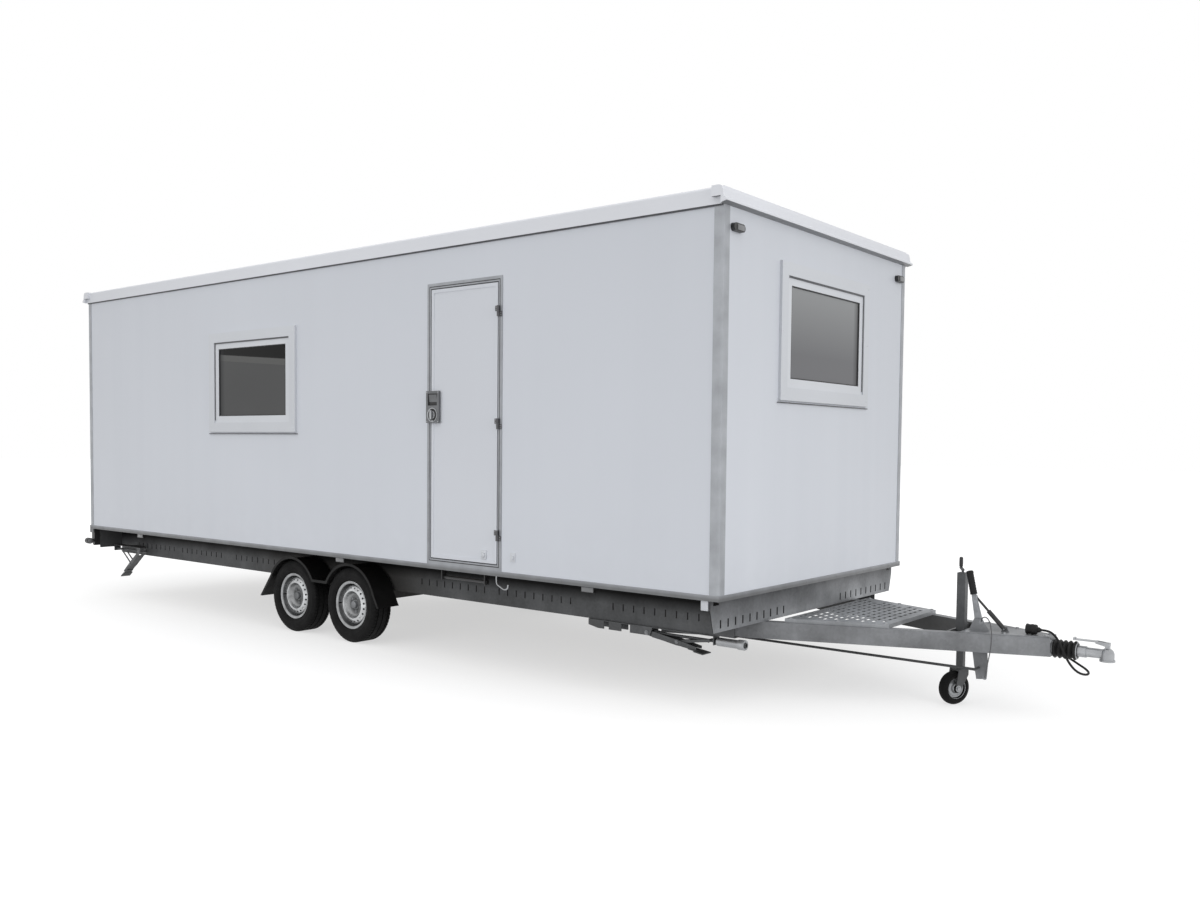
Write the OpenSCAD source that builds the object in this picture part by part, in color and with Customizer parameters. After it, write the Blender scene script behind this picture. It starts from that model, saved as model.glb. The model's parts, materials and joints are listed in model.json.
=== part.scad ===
/* [Cabin] */
// Length of the cabin over its end walls
cabin_l = 7338; // [6400:1:9000]
// Width of the cabin over its side walls
cabin_w = 2500; // [2300:1:2600]
// Height from the floor's underside to the lip of the roof
wall_h = 2215; // [2100:1:2500]
// Height of the floor's underside above the ground
floor_z = 655; // [640:1:720]
// Thickness of the wall panels, and width of the corner posts
wall_t = 60; // [50:1:80]
// Thickness of the floor panel
floor_t = 60; // [45:1:90]
// Height of the metal strip round the edge of the floor
edge_h = 33; // [25:1:40]
// How far the edge strip stands proud of the walls
edge_proud = 6; // [4:1:12]
// Depth of the edge strip behind the wall face
edge_in = 4; // [3:1:10]
// How far the corner posts stand proud of the walls
post_proud = 3; // [1:0.5:6]
// Wall thickness of the corner posts
post_t = 4; // [2:0.5:8]
// Outer corner radius of the corner posts
post_r = 18; // [8:1:25]

/* [Roof] */
// Height of the roof's edge
lip_h = 100; // [90:1:140]
// Thickness of the roof panel
roof_t = 60; // [40:1:80]
// Overhang of the roof along the sides
roof_side = 15; // [8:1:30]
// Reach of the drip edge over the end walls
drip_reach = 40; // [25:1:60]
// How far the drip edge runs past the side walls
drip_side = 38; // [20:1:50]

/* [Door] */
// Distance from the front wall to the near edge of the door frame
door_back = 1688; // [900:1:2200]
// Width over the door frame
door_w = 722; // [680:1:1000]
// Height over the door frame
door_h = 1945; // [1850:1:2050]
// Visible width of the door frame
frame_w = 35; // [30:1:50]
// How far the frame laps over the wall
frame_lap = 12; // [8:1:20]
// How far the frame stands proud of the wall
frame_proud = 4; // [2:1:10]
// Height of the door's sill
sill_h = 39; // [30:1:60]
// Thickness of the door leaf
leaf_t = 40; // [30:1:45]
// Gap round the door leaf
door_gap = 7.5; // [7:0.5:9]
// Width of the stop that the leaf closes against
stop_w = 15; // [10:1:25]

/* [Windows] */
// Width over the window trim
window_w = 1225; // [800:1:1500]
// Height over the window trim
window_h = 837; // [600:1:1000]
// Width of the trim strip
trim_w = 80; // [50:1:100]
// How far the trim stands proud of the wall
trim_proud = 18; // [10:1:30]
// Width of the sash
sash_w = 55; // [40:1:80]
// Depth of the sash
sash_d = 46; // [30:1:55]
// Thickness of the glazing
pane_t = 20; // [12:1:26]
// Distance from the front wall to the middle of the side window
side_window_back = 4546; // [3600:1:5400]
// Height of the middle of the side window above the floor's underside
side_window_z = 1372; // [1200:1:1500]
// Height of the middle of the front window above the floor's underside
front_window_z = 1577; // [1200:1:1650]

/* [Chassis] */
// Distance from the cabin's side to the side rail
rail_in = 280; // [270:1:330]
// Height of the side rails
rail_h = 250; // [220:1:270]
// Width of the rails' flanges
flange_w = 50; // [35:1:70]
// Thickness of the folded steel
steel_t = 5; // [3:0.5:6]
// Distance from the front wall to the front cross rail
front_rail_back = 60; // [30:1:90]
// Height of the front cross rail and the cross members
cross_h = 190; // [150:1:210]
// Number of cross members behind the front rail
cross_count = 6; // [4:1:8]
// Distance between the slots in the rails
slot_pitch = 82; // [60:1:100]
// Number of slots in each group
slot_count = 10; // [4:1:10]
// Height of a slot
slot_h = 45; // [20:1:60]
// Width of a slot
slot_w = 10; // [6:1:16]

/* [Wheels] */
// Radius of the tyres
tyre_r = 288; // [270:1:300]
// Width of the tyres
tyre_w = 185; // [178:1:190]
// Radius of the rim under the tyre
rim_r = 165; // [160:1:178]
// Distance from the cabin's side to the tyre's outer wall
wheel_in = 60; // [50:1:70]
// Distance from the front wall to the front axle
axle_back = 3355; // [3000:1:3800]
// Distance between the two axles
axle_gap = 725; // [690:1:800]
// Length of the swing arms
arm_l = 150; // [120:1:180]
// Size of the square axle tube
axle_tube = 80; // [60:1:90]
// Radius of the wheel spindles
spindle_r = 20; // [15:1:25]
// Gap between tyre and mudguard
guard_gap = 14; // [10:1:24]
// Thickness of the mudguards
guard_t = 6; // [4:1:10]

/* [Drawbar] */
// Distance from the front wall to the tip of the coupling
coupling_reach = 1786; // [1500:1:2100]
// Distance at the front wall from a side rail's face to the drawbar's outer face
bar_in = 344; // [320:1:370]
// Half the drawbar's width at its nose
nose_half = 60.5; // [58:0.5:66]
// Width of the drawbar's beams
bar_w = 60; // [50:1:70]
// Height of the drawbar's beams
bar_h = 105; // [90:1:120]
// Distance from a side rail's face to the drawbar's outer face at its rear end
bar_end_in = 90; // [80:1:120]
// Distance from the front wall to the step
step_front = 60; // [40:1:120]
// Length of the step as a share of the drawbar's length
step_share = 0.393; // [0.3:0.001:0.42]
// Radius of the overrun shaft
shaft_r = 25; // [20:1:26]
// Length of the bellows
bellows_l = 135; // [120:1:150]

/* [Jockey wheel] */
// Distance from the drawbar's nose back to the jockey wheel's post
jockey_back = 520; // [500:1:550]
// Size of the square post
post_w = 50; // [44:1:60]
// Top of the post above the floor's underside
jockey_top = 136; // [100:1:200]
// Radius of the jockey wheel
jockey_r = 100; // [80:1:110]
// Width of the jockey wheel
jockey_w = 62; // [50:1:80]
// How far the jockey wheel trails behind its swivel
jockey_trail = 46; // [30:1:50]
// Height of the fork over its axle
fork_h = 122; // [112:1:140]
// Turn of the castor about its stem in degrees
jockey_turn = 60; // [0:1:90]

/* [Handbrake] */
// Distance from the drawbar's nose back to the lever's pivot
lever_back = 385; // [370:1:395]
// Length of the lever
lever_l = 292; // [260:1:320]
// Lean of the lever towards the cabin in degrees
lever_lean = 12; // [5:1:15]
// Distance from the lever's pivot to both ends of its gas strut
strut_r = 145; // [140:1:150]

/* [Corner steadies] */
// Length of a steady's leg from its pivot to its foot
leg_l = 370; // [330:1:400]
// Distance along the leg to the strut's pin, and length of the strut
brace_l = 225; // [200:1:240]
// Angle of the rear legs below level in degrees
rear_leg_deg = 35; // [20:1:45]
// Distance from the rear wall to the rear legs' pivots
rear_steady_x = 640; // [560:1:700]
// Distance from the cabin's side to the rear steadies
rear_steady_y = 190; // [170:1:205]
// Distance from the front wall to the front legs' pivots
front_steady_x = 690; // [660:1:720]
// Angle of the front legs below level in degrees
front_leg_deg = 8; // [0:1:12]

/* [Hidden] */
$fn = 48;
fit = 0.05;
seat = 0.2;
over = 1;
overall_l = cabin_l + drip_reach + coupling_reach;
xf = overall_l / 2 - coupling_reach;
xr = xf - cabin_l;
yn = -cabin_w / 2;
yf = cabin_w / 2;
zf = floor_z;
wall_z0 = zf + edge_h;
lip_z = zf + wall_h;
roof_z = lip_z + lip_h;
wall_z1 = roof_z - roof_t;

// Door: frame outline, clear opening, leaf and hinge line
door_x1 = xf - door_back;
door_x0 = door_x1 - door_w;
door_z0 = wall_z0;
door_z1 = door_z0 + door_h;
leaf_x0 = door_x0 + frame_w + door_gap;
leaf_x1 = door_x1 - frame_w - door_gap;
leaf_z0 = door_z0 + sill_h + door_gap;
leaf_z1 = door_z1 - frame_w - door_gap;
leaf_y0 = yn - frame_proud;
leaf_rim = 24;
leaf_dish = 3;
hinge_r = 9;
hinge_pin_r = 4;
hinge_out = 13;
hinge_h = 34;
hinge_x = leaf_x1 + door_gap + 8;
hinge_y = leaf_y0 - hinge_out;
hinge_in = 190;
hinge_zs = [leaf_z0 + hinge_in, (leaf_z0 + leaf_z1) / 2, leaf_z1 - hinge_in];
catch_z = leaf_z0 + 55;
catch_reach = 132;

// Windows
hole_w = window_w - 2 * trim_w;
hole_h = window_h - 2 * trim_w;
side_window_x = xf - side_window_back;
sash_proud = 8;

// Chassis
rail_y = yn + rail_in;
rail_z = zf - rail_h;
cross_z = zf - cross_h;
front_rail_x = xf - front_rail_back;
rear_rail_in = 60;
rear_rail_x = xr + rear_rail_in;
hub_y = yn + wheel_in + tyre_w / 2;
axle_xs = [xf - axle_back, xf - axle_back - axle_gap];
tube_z = rail_z - axle_tube / 2;
arm_drop = tube_z - tyre_r;
arm_x = sqrt(arm_l * arm_l - arm_drop * arm_drop);
arm_gap = 8;
arm_t = 24;
flange_r = rim_r + 17;
rim_half = tyre_w / 2 - 18;

// Mudguards
guard_r = tyre_r + guard_gap;
guard_tab = 25;
guard_y0 = yn + wheel_in - guard_gap;
guard_y1 = rail_y - guard_tab;
guard_saddle = 147;
guard_valley = tyre_r + guard_saddle;

// Drawbar: half widths of its outer and inner faces at a distance in front of the wall
bar_top = cross_z;
bar_z = bar_top - bar_h;
nose_t = 7;
head_l = 194;
bar_front = coupling_reach - head_l - bellows_l - nose_t;
nose_x = bar_front + nose_t;
bar_half = cabin_w / 2 - rail_in - bar_in;
bar_slope = (bar_half - nose_half) / bar_front;
bar_back = (bar_in - bar_end_in) / bar_slope;
bar_w_y = bar_w * sqrt(1 + bar_slope * bar_slope);
function bar_outer(x) = bar_half - bar_slope * x;
function bar_inner(x) = bar_outer(x) - bar_w_y;
tube_r = shaft_r + 7;
channel = tube_r + 1;
deck_t = 8;
deck_z = bar_top + deck_t;
deck_l = 450;
deck_x0 = bar_front - deck_l;
sleeve_l = 300;
sleeve_x = bar_front - sleeve_l;
step_l = bar_front * step_share;
shaft_drop = 62;
shaft_z = bar_top - shaft_drop;
head_x0 = nose_x + bellows_l;
neck_r = 27;
dome_r = 36;
dome_rim = 5;
ball_x = xf + coupling_reach - dome_r - dome_rim;
release_z = shaft_z + dome_r + 18;
release_pin_r = 5;

// Handbrake: pivots of the lever and its strut, from the lever's plane
lever_x = bar_front - lever_back;
ear_front = 63;
ear_clear = 10;
ear_y = ear_clear - bar_inner(lever_x + ear_front);
lever_y = ear_y + 12;
lever_t = 12;
lever_z = deck_z + 52;
lever_pin_r = 8;
lever_deg = 90 + lever_lean;
strut_low_deg = -14;
strut_pin_r = 5;
strut_eye_r = 9;
strut_y = lever_y + lever_t + 15;
strut_tube_r = 13;
strut_rod_r = 7;
strut_part = 135;
strut_low = [lever_x + strut_r * cos(strut_low_deg), lever_z + strut_r * sin(strut_low_deg)];
strut_top = [lever_x + strut_r * cos(lever_deg), lever_z + strut_r * sin(lever_deg)];
strut_deg = atan2(strut_top[1] - strut_low[1], strut_top[0] - strut_low[0]);

// Brake rod
rod_r = 8;
rod_y = -178;
rod_z = tube_z - axle_tube / 2 - 70;
rod_x = lever_x + 13;

// Jockey wheel
jockey_x = bar_front - jockey_back;
jockey_wall = 4;
jockey_tube_w = post_w - 2 * jockey_wall - 1;
jockey_post_z = bar_z - 10;
swivel_z = jockey_r + fork_h;
stem_r = 10;
jockey_axle_r = 8;
jockey_tube_top = zf - 50;

// Corner steadies
steady_pin_r = 6;
steady_half = 32;
steady_top = 38;
steady_spindle_r = 8;
spindle_end = 2 * brace_l + 40;
front_steady_y = rail_in + flange_w / 2;
rear_steady_drop = 200;
rear_steady_z = zf - rear_steady_drop;
front_steady_z = rail_z - steady_top;

// Free cords: the lead's points from the drawbar's nose and the middle, the cable's from the lever's
// pivot and its ear, and both from the floor's underside
lead_d = 13;
lead_route = [
    [-52, -36, -152], [-22, -38, -152], [8, -44, -159], [36, -54, -179], [58, -64, -208],
    [78, -72, -244], [98, -76, -282], [120, -74, -318], [144, -66, -348], [170, -52, -367],
    [192, -30, -374], [200, -4, -373], [193, 22, -366], [170, 42, -354], [136, 52, -338],
    [102, 55, -320], [70, 55, -304], [44, 54, -292], [17, 52, -287]
];
lead_start = lead_route[0];
lead_end = lead_route[len(lead_route) - 1];
cable_d = 6;
cable_route = [
    [20, 0, -132], [25, -12, -117], [37, -26, -102], [55, -43, -94], [76, -61, -97],
    [94, -78, -113], [106, -91, -140], [113, -99, -174], [115, -103, -212], [112, -102, -252],
    [105, -96, -292], [95, -85, -332], [83, -69, -372], [70, -48, -408], [57, -24, -437],
    [47, 0, -455]
];

// Shared shapes
module box_at(low, high) {
    translate(low) cube(high - low);
}

// A copy on each side of the middle plane
module both_sides() {
    children();
    mirror([0, 1, 0]) children();
}

// A flat shape drawn in the XZ plane, from y0 towards +Y
module side_plate(y0, t) {
    translate([0, y0 + t, 0]) rotate([90, 0, 0]) linear_extrude(t) children();
}

// A flat shape drawn in the YZ plane, from x0 towards +X
module cross_plate(x0, t) {
    translate([x0, 0, 0]) rotate([90, 0, 90]) linear_extrude(t) children();
}

// A pin along Y between two places
module pin_y(x, z, r, y0, y1) {
    translate([x, y1, z]) rotate([90, 0, 0]) cylinder(r = r, h = y1 - y0);
}

// A rectangular ring in the YZ or XZ plane
module ring_2d(w, h, t) {
    difference() {
        square([w, h], center = true);
        square([w - 2 * t, h - 2 * t], center = true);
    }
}

// A solid set upright against the front wall, with its depth outwards
module on_front_wall(y, z) {
    translate([xf, y, zf + z]) rotate([90, 0, 90]) children();
}

// A solid set upright against the door side wall, with its depth outwards
module on_door_wall(x, z) {
    translate([x, yn, zf + z]) rotate([90, 0, 0]) children();
}

// Cabin shell
module floor_panel() {
    color("tan") {
        box_at([xr + edge_in, yn + edge_in, zf], [xf - edge_in, yf - edge_in, wall_z0]);
        box_at([xr + wall_t, yn + wall_t, zf], [xf - wall_t, yf - wall_t, zf + floor_t]);
    }
}

// Strip round the floor, with a deeper corner piece at each rear corner
module floor_edge() {
    corner_l = 60;
    corner_drop = 39;
    color("gray") {
        difference() {
            box_at(
                [xr - edge_proud, yn - edge_proud, zf], [xf + edge_proud, yf + edge_proud, wall_z0]
            );
            box_at(
                [xr + edge_in, yn + edge_in, zf - over], [xf - edge_in, yf - edge_in, wall_z0 + over]
            );
        }
        both_sides() box_at(
            [xr - edge_proud, yn - edge_proud, zf - corner_drop], [xr + corner_l, yn + edge_in, zf]
        );
    }
}

module front_wall() {
    color("whitesmoke") difference() {
        box_at([xf - wall_t, yn + wall_t, wall_z0], [xf, yf - wall_t, wall_z1]);
        on_front_wall(0, front_window_z)
            translate([0, 0, -wall_t - over]) linear_extrude(wall_t + 2 * over)
                square([hole_w, hole_h], center = true);
    }
}

module rear_wall() {
    color("whitesmoke") box_at([xr, yn + wall_t, wall_z0], [xr + wall_t, yf - wall_t, wall_z1]);
}

module far_side_wall() {
    color("whitesmoke") box_at([xr + wall_t, yf - wall_t, wall_z0], [xf - wall_t, yf, wall_z1]);
}

module door_wall_rear() {
    color("whitesmoke") difference() {
        box_at([xr + wall_t, yn, wall_z0], [door_x0 + frame_lap, yn + wall_t, wall_z1]);
        on_door_wall(side_window_x, side_window_z)
            translate([0, 0, -wall_t - over]) linear_extrude(wall_t + 2 * over)
                square([hole_w, hole_h], center = true);
    }
}

module door_wall_front() {
    color("whitesmoke")
        box_at([door_x1 - frame_lap, yn, wall_z0], [xf - wall_t, yn + wall_t, wall_z1]);
}

module door_header() {
    color("whitesmoke") box_at(
        [door_x0 + frame_lap, yn, door_z1 - frame_lap],
        [door_x1 - frame_lap, yn + wall_t, wall_z1]
    );
}

// Hollow post with a round outer corner, its inner corner at the origin
module corner_post_2d() {
    side = wall_t + post_proud;
    difference() {
        union() {
            square([side - post_r, side]);
            square([side, side - post_r]);
            translate([side - post_r, side - post_r]) circle(r = post_r);
        }
        translate([post_t, post_t]) square(side - post_t - post_r / 2 - post_t);
    }
}

module corner_posts() {
    color("darkgray") for (sx = [0, 1]) for (sy = [0, 1])
        translate([sx ? xf - wall_t : xr + wall_t, sy ? yf - wall_t : yn + wall_t, wall_z0])
            mirror([1 - sx, 0, 0]) mirror([0, 1 - sy, 0])
                linear_extrude(lip_z - wall_z0) corner_post_2d();
}

// Outline of the drip edge over the front wall, with x from the wall face
module drip_edge_2d() {
    drip_lip = 10;
    drip_top = 12;
    polygon([
        [0, lip_z], [drip_reach, lip_z + drip_lip], [drip_reach, lip_z + 2 * drip_lip],
        [drip_reach * 0.55, lip_z + 3.5 * drip_lip], [drip_reach * 0.35, roof_z - 25],
        [drip_reach * 0.2, roof_z - 8], [-drip_top, roof_z], [-wall_t, roof_z],
        [-wall_t, wall_z1], [0, wall_z1]
    ]);
}

// Outline across the roof, with rounded upper edges
module roof_2d() {
    edge_r = 16;
    half = cabin_w / 2 + roof_side;
    difference() {
        union() {
            translate([-half, lip_z]) square([2 * half, lip_h - edge_r]);
            translate([-half + edge_r, lip_z]) square([2 * (half - edge_r), lip_h]);
            for (s = [-1, 1]) translate([s * (half - edge_r), roof_z - edge_r]) circle(r = edge_r);
        }
        translate([-cabin_w / 2, lip_z - over]) square([cabin_w, wall_z1 - lip_z + over]);
    }
}

module roof() {
    color("white") union() {
        cross_plate(xr, cabin_l) roof_2d();
        for (end = [0, 1])
            translate([end ? xf : xr, 0, 0]) mirror([1 - end, 0, 0])
                side_plate(yn - drip_side, cabin_w + 2 * drip_side) drip_edge_2d();
    }
}

// Door frame and hinges
module door_frame() {
    clear_x = [door_x0 + frame_w, door_x1 - frame_w];
    clear_z = [door_z0 + sill_h, door_z1 - frame_w];
    stop_y = leaf_y0 + leaf_t + door_gap;
    color("darkgray") difference() {
        union() {
            box_at([door_x0, yn - frame_proud, door_z0], [door_x1, yn, door_z1]);
            box_at(
                [door_x0 + frame_lap, yn - frame_proud, door_z0],
                [door_x1 - frame_lap, yn + wall_t, door_z1 - frame_lap]
            );
        }
        box_at(
            [clear_x[0], yn - frame_proud - over, clear_z[0]], [clear_x[1], stop_y, clear_z[1]]
        );
        box_at(
            [clear_x[0] + stop_w, stop_y - over, clear_z[0] + stop_w],
            [clear_x[1] - stop_w, yn + wall_t + over, clear_z[1] - stop_w]
        );
    }
}

// The frame's knuckles, each with the pin that the leaf turns on
module frame_hinges() {
    color("dimgray") for (z = hinge_zs) {
        translate([hinge_x, hinge_y, z - hinge_h]) cylinder(r = hinge_r, h = hinge_h);
        translate([hinge_x, hinge_y, z - over]) cylinder(r = hinge_pin_r, h = hinge_h - over);
        box_at([hinge_x, hinge_y, z - hinge_h], [hinge_x + hinge_r, leaf_y0, z]);
        box_at([hinge_x, leaf_y0 - 4, z - hinge_h], [door_x1 - 2, leaf_y0, z]);
    }
}

module wall_catch() {
    plate = [22, 4, 30];
    knob = [12, 16, 12];
    x = hinge_x + catch_reach;
    color("white") for (size = [plate, knob])
        box_at(
            [x - size[0], yn - size[1], catch_z - size[2]], [x + size[0], yn, catch_z + size[2]]
        );
}

// Door leaf: a flat panel with a rim round its outer face
module door_leaf() {
    color("whitesmoke") difference() {
        box_at([leaf_x0, leaf_y0, leaf_z0], [leaf_x1, leaf_y0 + leaf_t, leaf_z1]);
        box_at(
            [leaf_x0 + leaf_rim, leaf_y0 - over, leaf_z0 + leaf_rim],
            [leaf_x1 - leaf_rim, leaf_y0 + leaf_dish, leaf_z1 - leaf_rim]
        );
    }
}

module leaf_hinges() {
    plate = 20;
    color("dimgray") for (z = hinge_zs) difference() {
        union() {
            translate([hinge_x, hinge_y, z + 2]) cylinder(r = hinge_r, h = hinge_h);
            box_at([hinge_x - hinge_r, hinge_y, z + 2], [hinge_x, leaf_y0 - 1, z + 2 + hinge_h]);
            box_at([leaf_x1 - plate, leaf_y0 - 5, z + 2], [hinge_x, leaf_y0 - 1, z + 2 + hinge_h]);
            box_at([leaf_x1 - plate, leaf_y0 - 5, z + 2], [leaf_x1, leaf_y0, z + 2 + hinge_h]);
        }
        translate([hinge_x, hinge_y, z]) cylinder(r = hinge_pin_r + fit, h = hinge_h + 4);
    }
}

// Lock plate with a grip recess and a turning handle, and the leaf's half of the door catch
module door_fittings() {
    lock_x = leaf_x0 + 28;
    lock_z = leaf_z0 + 0.565 * (leaf_z1 - leaf_z0);
    lock_w = 129;
    lock_h = 220;
    lock_gap = 5.5;
    lock_y = leaf_y0 - lock_gap - 12;
    recess = 9;
    handle_z = lock_z - 55;
    catch_x = hinge_x - catch_reach;
    color("gray") {
        difference() {
            box_at(
                [lock_x - lock_w / 2, lock_y, lock_z - lock_h / 2],
                [lock_x + lock_w / 2, leaf_y0 - lock_gap, lock_z + lock_h / 2]
            );
            box_at(
                [lock_x - 46, lock_y - over, lock_z + 10], [lock_x + 46, lock_y + recess, lock_z + 92]
            );
        }
        box_at(
            [leaf_x0 + leaf_rim, lock_y + recess, lock_z - lock_h / 2 + 10],
            [lock_x + lock_w / 2 - 10, leaf_y0 + leaf_dish, lock_z + lock_h / 2 - 10]
        );
        pin_y(lock_x, handle_z, 24, lock_y - 8, lock_y + over);
        box_at([lock_x - 7, lock_y - 20, handle_z - 30], [lock_x + 7, lock_y - 6, handle_z + 30]);
        box_at(
            [catch_x - 22, leaf_y0 - 4, catch_z - 30], [catch_x + 22, leaf_y0 + leaf_dish, catch_z + 30]
        );
        box_at([catch_x - 12, leaf_y0 - 14, catch_z - 14], [catch_x + 12, leaf_y0 - 3, catch_z + 14]);
    }
}

// Windows
module at_windows() {
    on_front_wall(0, front_window_z) children();
    on_door_wall(side_window_x, side_window_z) children();
}

module window_trims() {
    color("white") at_windows() {
        linear_extrude(trim_proud) ring_2d(window_w, window_h, trim_w);
    }
}

module window_sashes() {
    color("white") at_windows()
        translate([0, 0, sash_proud - sash_d]) linear_extrude(sash_d) ring_2d(hole_w, hole_h, sash_w);
}

module window_panes() {
    set_back = 8;
    color("darkslategray") at_windows()
        translate([0, 0, sash_proud - set_back - pane_t]) linear_extrude(pane_t)
            square([hole_w - 2 * sash_w, hole_h - 2 * sash_w], center = true);
}

// Marker lamps on the front wall and under the edge of the floor
module marker_lights() {
    lamp_w = 120;
    lamp_h = 45;
    lamp_d = 26;
    lamp_in = 130;
    lamp_drop = 112;
    side_w = 100;
    side_h = 36;
    side_shares = [0.13, 0.463, 0.87];
    reflector_w = 46;
    reflector_h = 58;
    reflector_back = 12;
    color("black") {
        for (s = [-1, 1]) on_front_wall(s * (cabin_w / 2 - lamp_in), wall_h - lamp_drop)
            linear_extrude(lamp_d) {
                square([lamp_w - lamp_h, lamp_h], center = true);
                for (e = [-1, 1]) translate([e * (lamp_w - lamp_h) / 2, 0]) circle(d = lamp_h);
            }
        both_sides() {
            for (share = side_shares) translate([xf - share * cabin_l, yn, zf])
                box_at([-side_w / 2, edge_in, -side_h], [side_w / 2, lamp_d, 0]);
            translate([front_rail_x - reflector_back, yn, zf])
                box_at([-reflector_w, edge_in, -reflector_h], [0, lamp_d, 0]);
        }
    }
}

// Rear lamp housings, each with a marker lamp on a rubber stalk
module rear_lamps() {
    lamp_w = 170;
    lamp_h = 165;
    lamp_in = 6;
    lamp_d = rear_rail_in - lamp_in;
    bevel = 30;
    stalk_l = 20;
    stalk_z = 0.28 * lamp_h;
    marker_r = 29;
    color("black") both_sides() translate([xr + lamp_in, yn + lamp_in, zf - lamp_h]) {
        side_plate(0, lamp_w) polygon([
            [0, lamp_h], [0, bevel], [bevel, 0], [lamp_d, 0], [lamp_d, lamp_h]
        ]);
        translate([lamp_d / 2, 0, stalk_z]) rotate([90, 0, 0]) cylinder(r1 = 17, r2 = 13, h = stalk_l);
        translate([over, marker_r / 5 - stalk_l - marker_r, stalk_z]) rotate([0, 90, 0])
            cylinder(r = marker_r, h = lamp_d - 2 * over);
    }
}

// Chassis
module slot_row(count) {
    for (i = [0 : count - 1])
        translate([(i - (count - 1) / 2) * slot_pitch, 0]) square([slot_w, slot_h], center = true);
}

// Folded side rail, open towards the middle, with groups of slots
module side_rail() {
    rail_x0 = rear_rail_x + 4;
    rail_x1 = front_rail_x;
    slot_drop = 155;
    difference() {
        box_at([rail_x0, rail_y, rail_z], [rail_x1, rail_y + flange_w, zf]);
        box_at(
            [rail_x0 - over, rail_y + steel_t, rail_z + steel_t],
            [rail_x1 + over, rail_y + flange_w + over, zf - steel_t]
        );
        for (share = [0.087, 0.225, 0.334, 0.668, 0.79, 0.9])
            side_plate(rail_y - over, steel_t + 2 * over)
                translate([xf - share * cabin_l, zf - slot_drop]) slot_row(slot_count - 1);
    }
}

module side_rails() {
    color("dimgray") both_sides() side_rail();
}

module front_cross_rail() {
    end_in = 5;
    taper = 36;
    notch = [60, 32];
    half = cabin_w / 2 - end_in;
    end_h = 60;
    slot_in = 480;
    slot_y = half - slot_in;
    slot_drop = 145;
    color("gray") {
        cross_plate(front_rail_x, steel_t) difference() {
            polygon([
                [-half, zf], [half, zf], [half, zf - end_h], [half - taper, cross_z],
                [-half + taper, cross_z], [-half, zf - end_h]
            ]);
            for (s = [-1, 1]) {
                translate([s * slot_y, zf - slot_drop]) slot_row(slot_count);
                translate([s * (half - notch[0]), zf - notch[1] / 2]) square(notch, center = true);
            }
        }
        inside = half - taper - rail_in - flange_w + 30;
        for (z = [zf - steel_t, cross_z])
            box_at([front_rail_x - flange_w, -inside, z], [front_rail_x + over, inside, z + steel_t]);
    }
}

// Folded cross members between the side rails, the last one behind the rear wall's floor edge
module cross_members() {
    y = rail_y + steel_t;
    bar_seat = 40;
    first = xf - bar_back + bar_seat;
    last = rear_rail_x + 70;
    color("dimgray") {
        for (i = [0 : cross_count - 1]) {
            x = first + (last - first) * i / (cross_count - 1);
            difference() {
                box_at([x - flange_w, y, cross_z], [x, -y, zf - steel_t]);
                box_at(
                    [x - flange_w - over, y - over, cross_z + steel_t],
                    [x - steel_t, -y + over, zf - 2 * steel_t]
                );
            }
        }
        box_at([rear_rail_x, yn + 60, cross_z], [rear_rail_x + steel_t - 1, yf - 60, zf]);
    }
}

// Drawbar
module bar_plan() {
    tip_in = (bar_half - bar_w_y - channel) / bar_slope;
    polygon([
        [-bar_back, -bar_outer(-bar_back)], [bar_front, -bar_outer(bar_front)],
        [bar_front, -channel], [tip_in, -channel], [-bar_back, -bar_inner(-bar_back)]
    ]);
}

module drawbar_beams() {
    color("silver") both_sides() translate([xf, 0, bar_z]) linear_extrude(bar_h) bar_plan();
}

// Perforated step on the drawbar, a folded plate with rows of slots
module drawbar_step() {
    sheet = 3;
    fold = 25;
    slot = [22, 52];
    pitch = [52, 78];
    margin = 34;
    step_end = step_front + step_l;
    side = 14;
    color("silver") translate([xf, 0, bar_top]) difference() {
        linear_extrude(fold) polygon([
            [step_front, -bar_outer(step_front) + side], [step_end, -bar_outer(step_end) + side],
            [step_end, bar_outer(step_end) - side], [step_front, bar_outer(step_front) - side]
        ]);
        translate([0, 0, -over]) linear_extrude(fold - sheet + over) polygon([
            [step_front + sheet, -bar_outer(step_front) + side + sheet],
            [step_end - sheet, -bar_outer(step_end) + side + sheet],
            [step_end - sheet, bar_outer(step_end) - side - sheet],
            [step_front + sheet, bar_outer(step_front) - side - sheet]
        ]);
        rows = floor((step_l - 2 * margin) / pitch[0]);
        for (i = [0 : rows]) {
            x = step_front + margin + i * pitch[0];
            shift = i % 2 == 0 ? 0 : pitch[1] / 2;
            reach = bar_outer(x + slot[0]) - side - margin - slot[1] / 2;
            count = floor((reach - shift) / pitch[1]);
            for (j = [-count - (shift > 0 ? 1 : 0) : count])
                translate([x - slot[0] / 2, j * pitch[1] + shift - slot[1] / 2, 0])
                    cube([slot[0], slot[1], fold + over]);
        }
    }
}

// Axles: square tubes under the rails with swing arms, brake drums and spindles
module axles() {
    arm_y = hub_y + tyre_w / 2 + arm_gap;
    drum_r = 105;
    spindle_out = 44;
    color("dimgray") for (x = axle_xs) {
        box_at(
            [x + arm_x - axle_tube / 2, arm_y + arm_t - over, tube_z - axle_tube / 2],
            [x + arm_x + axle_tube / 2, -arm_y - arm_t + over, tube_z + axle_tube / 2]
        );
        both_sides() {
            hull() {
                pin_y(x + arm_x, tube_z, axle_tube / 2, arm_y, arm_y + arm_t, $fn = 32);
                pin_y(x, tyre_r, 32, arm_y, arm_y + arm_t, $fn = 32);
            }
            pin_y(x, tyre_r, drum_r, hub_y, arm_y + over);
            pin_y(x, tyre_r, spindle_r, hub_y - spindle_out, hub_y + over);
        }
    }
}

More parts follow.
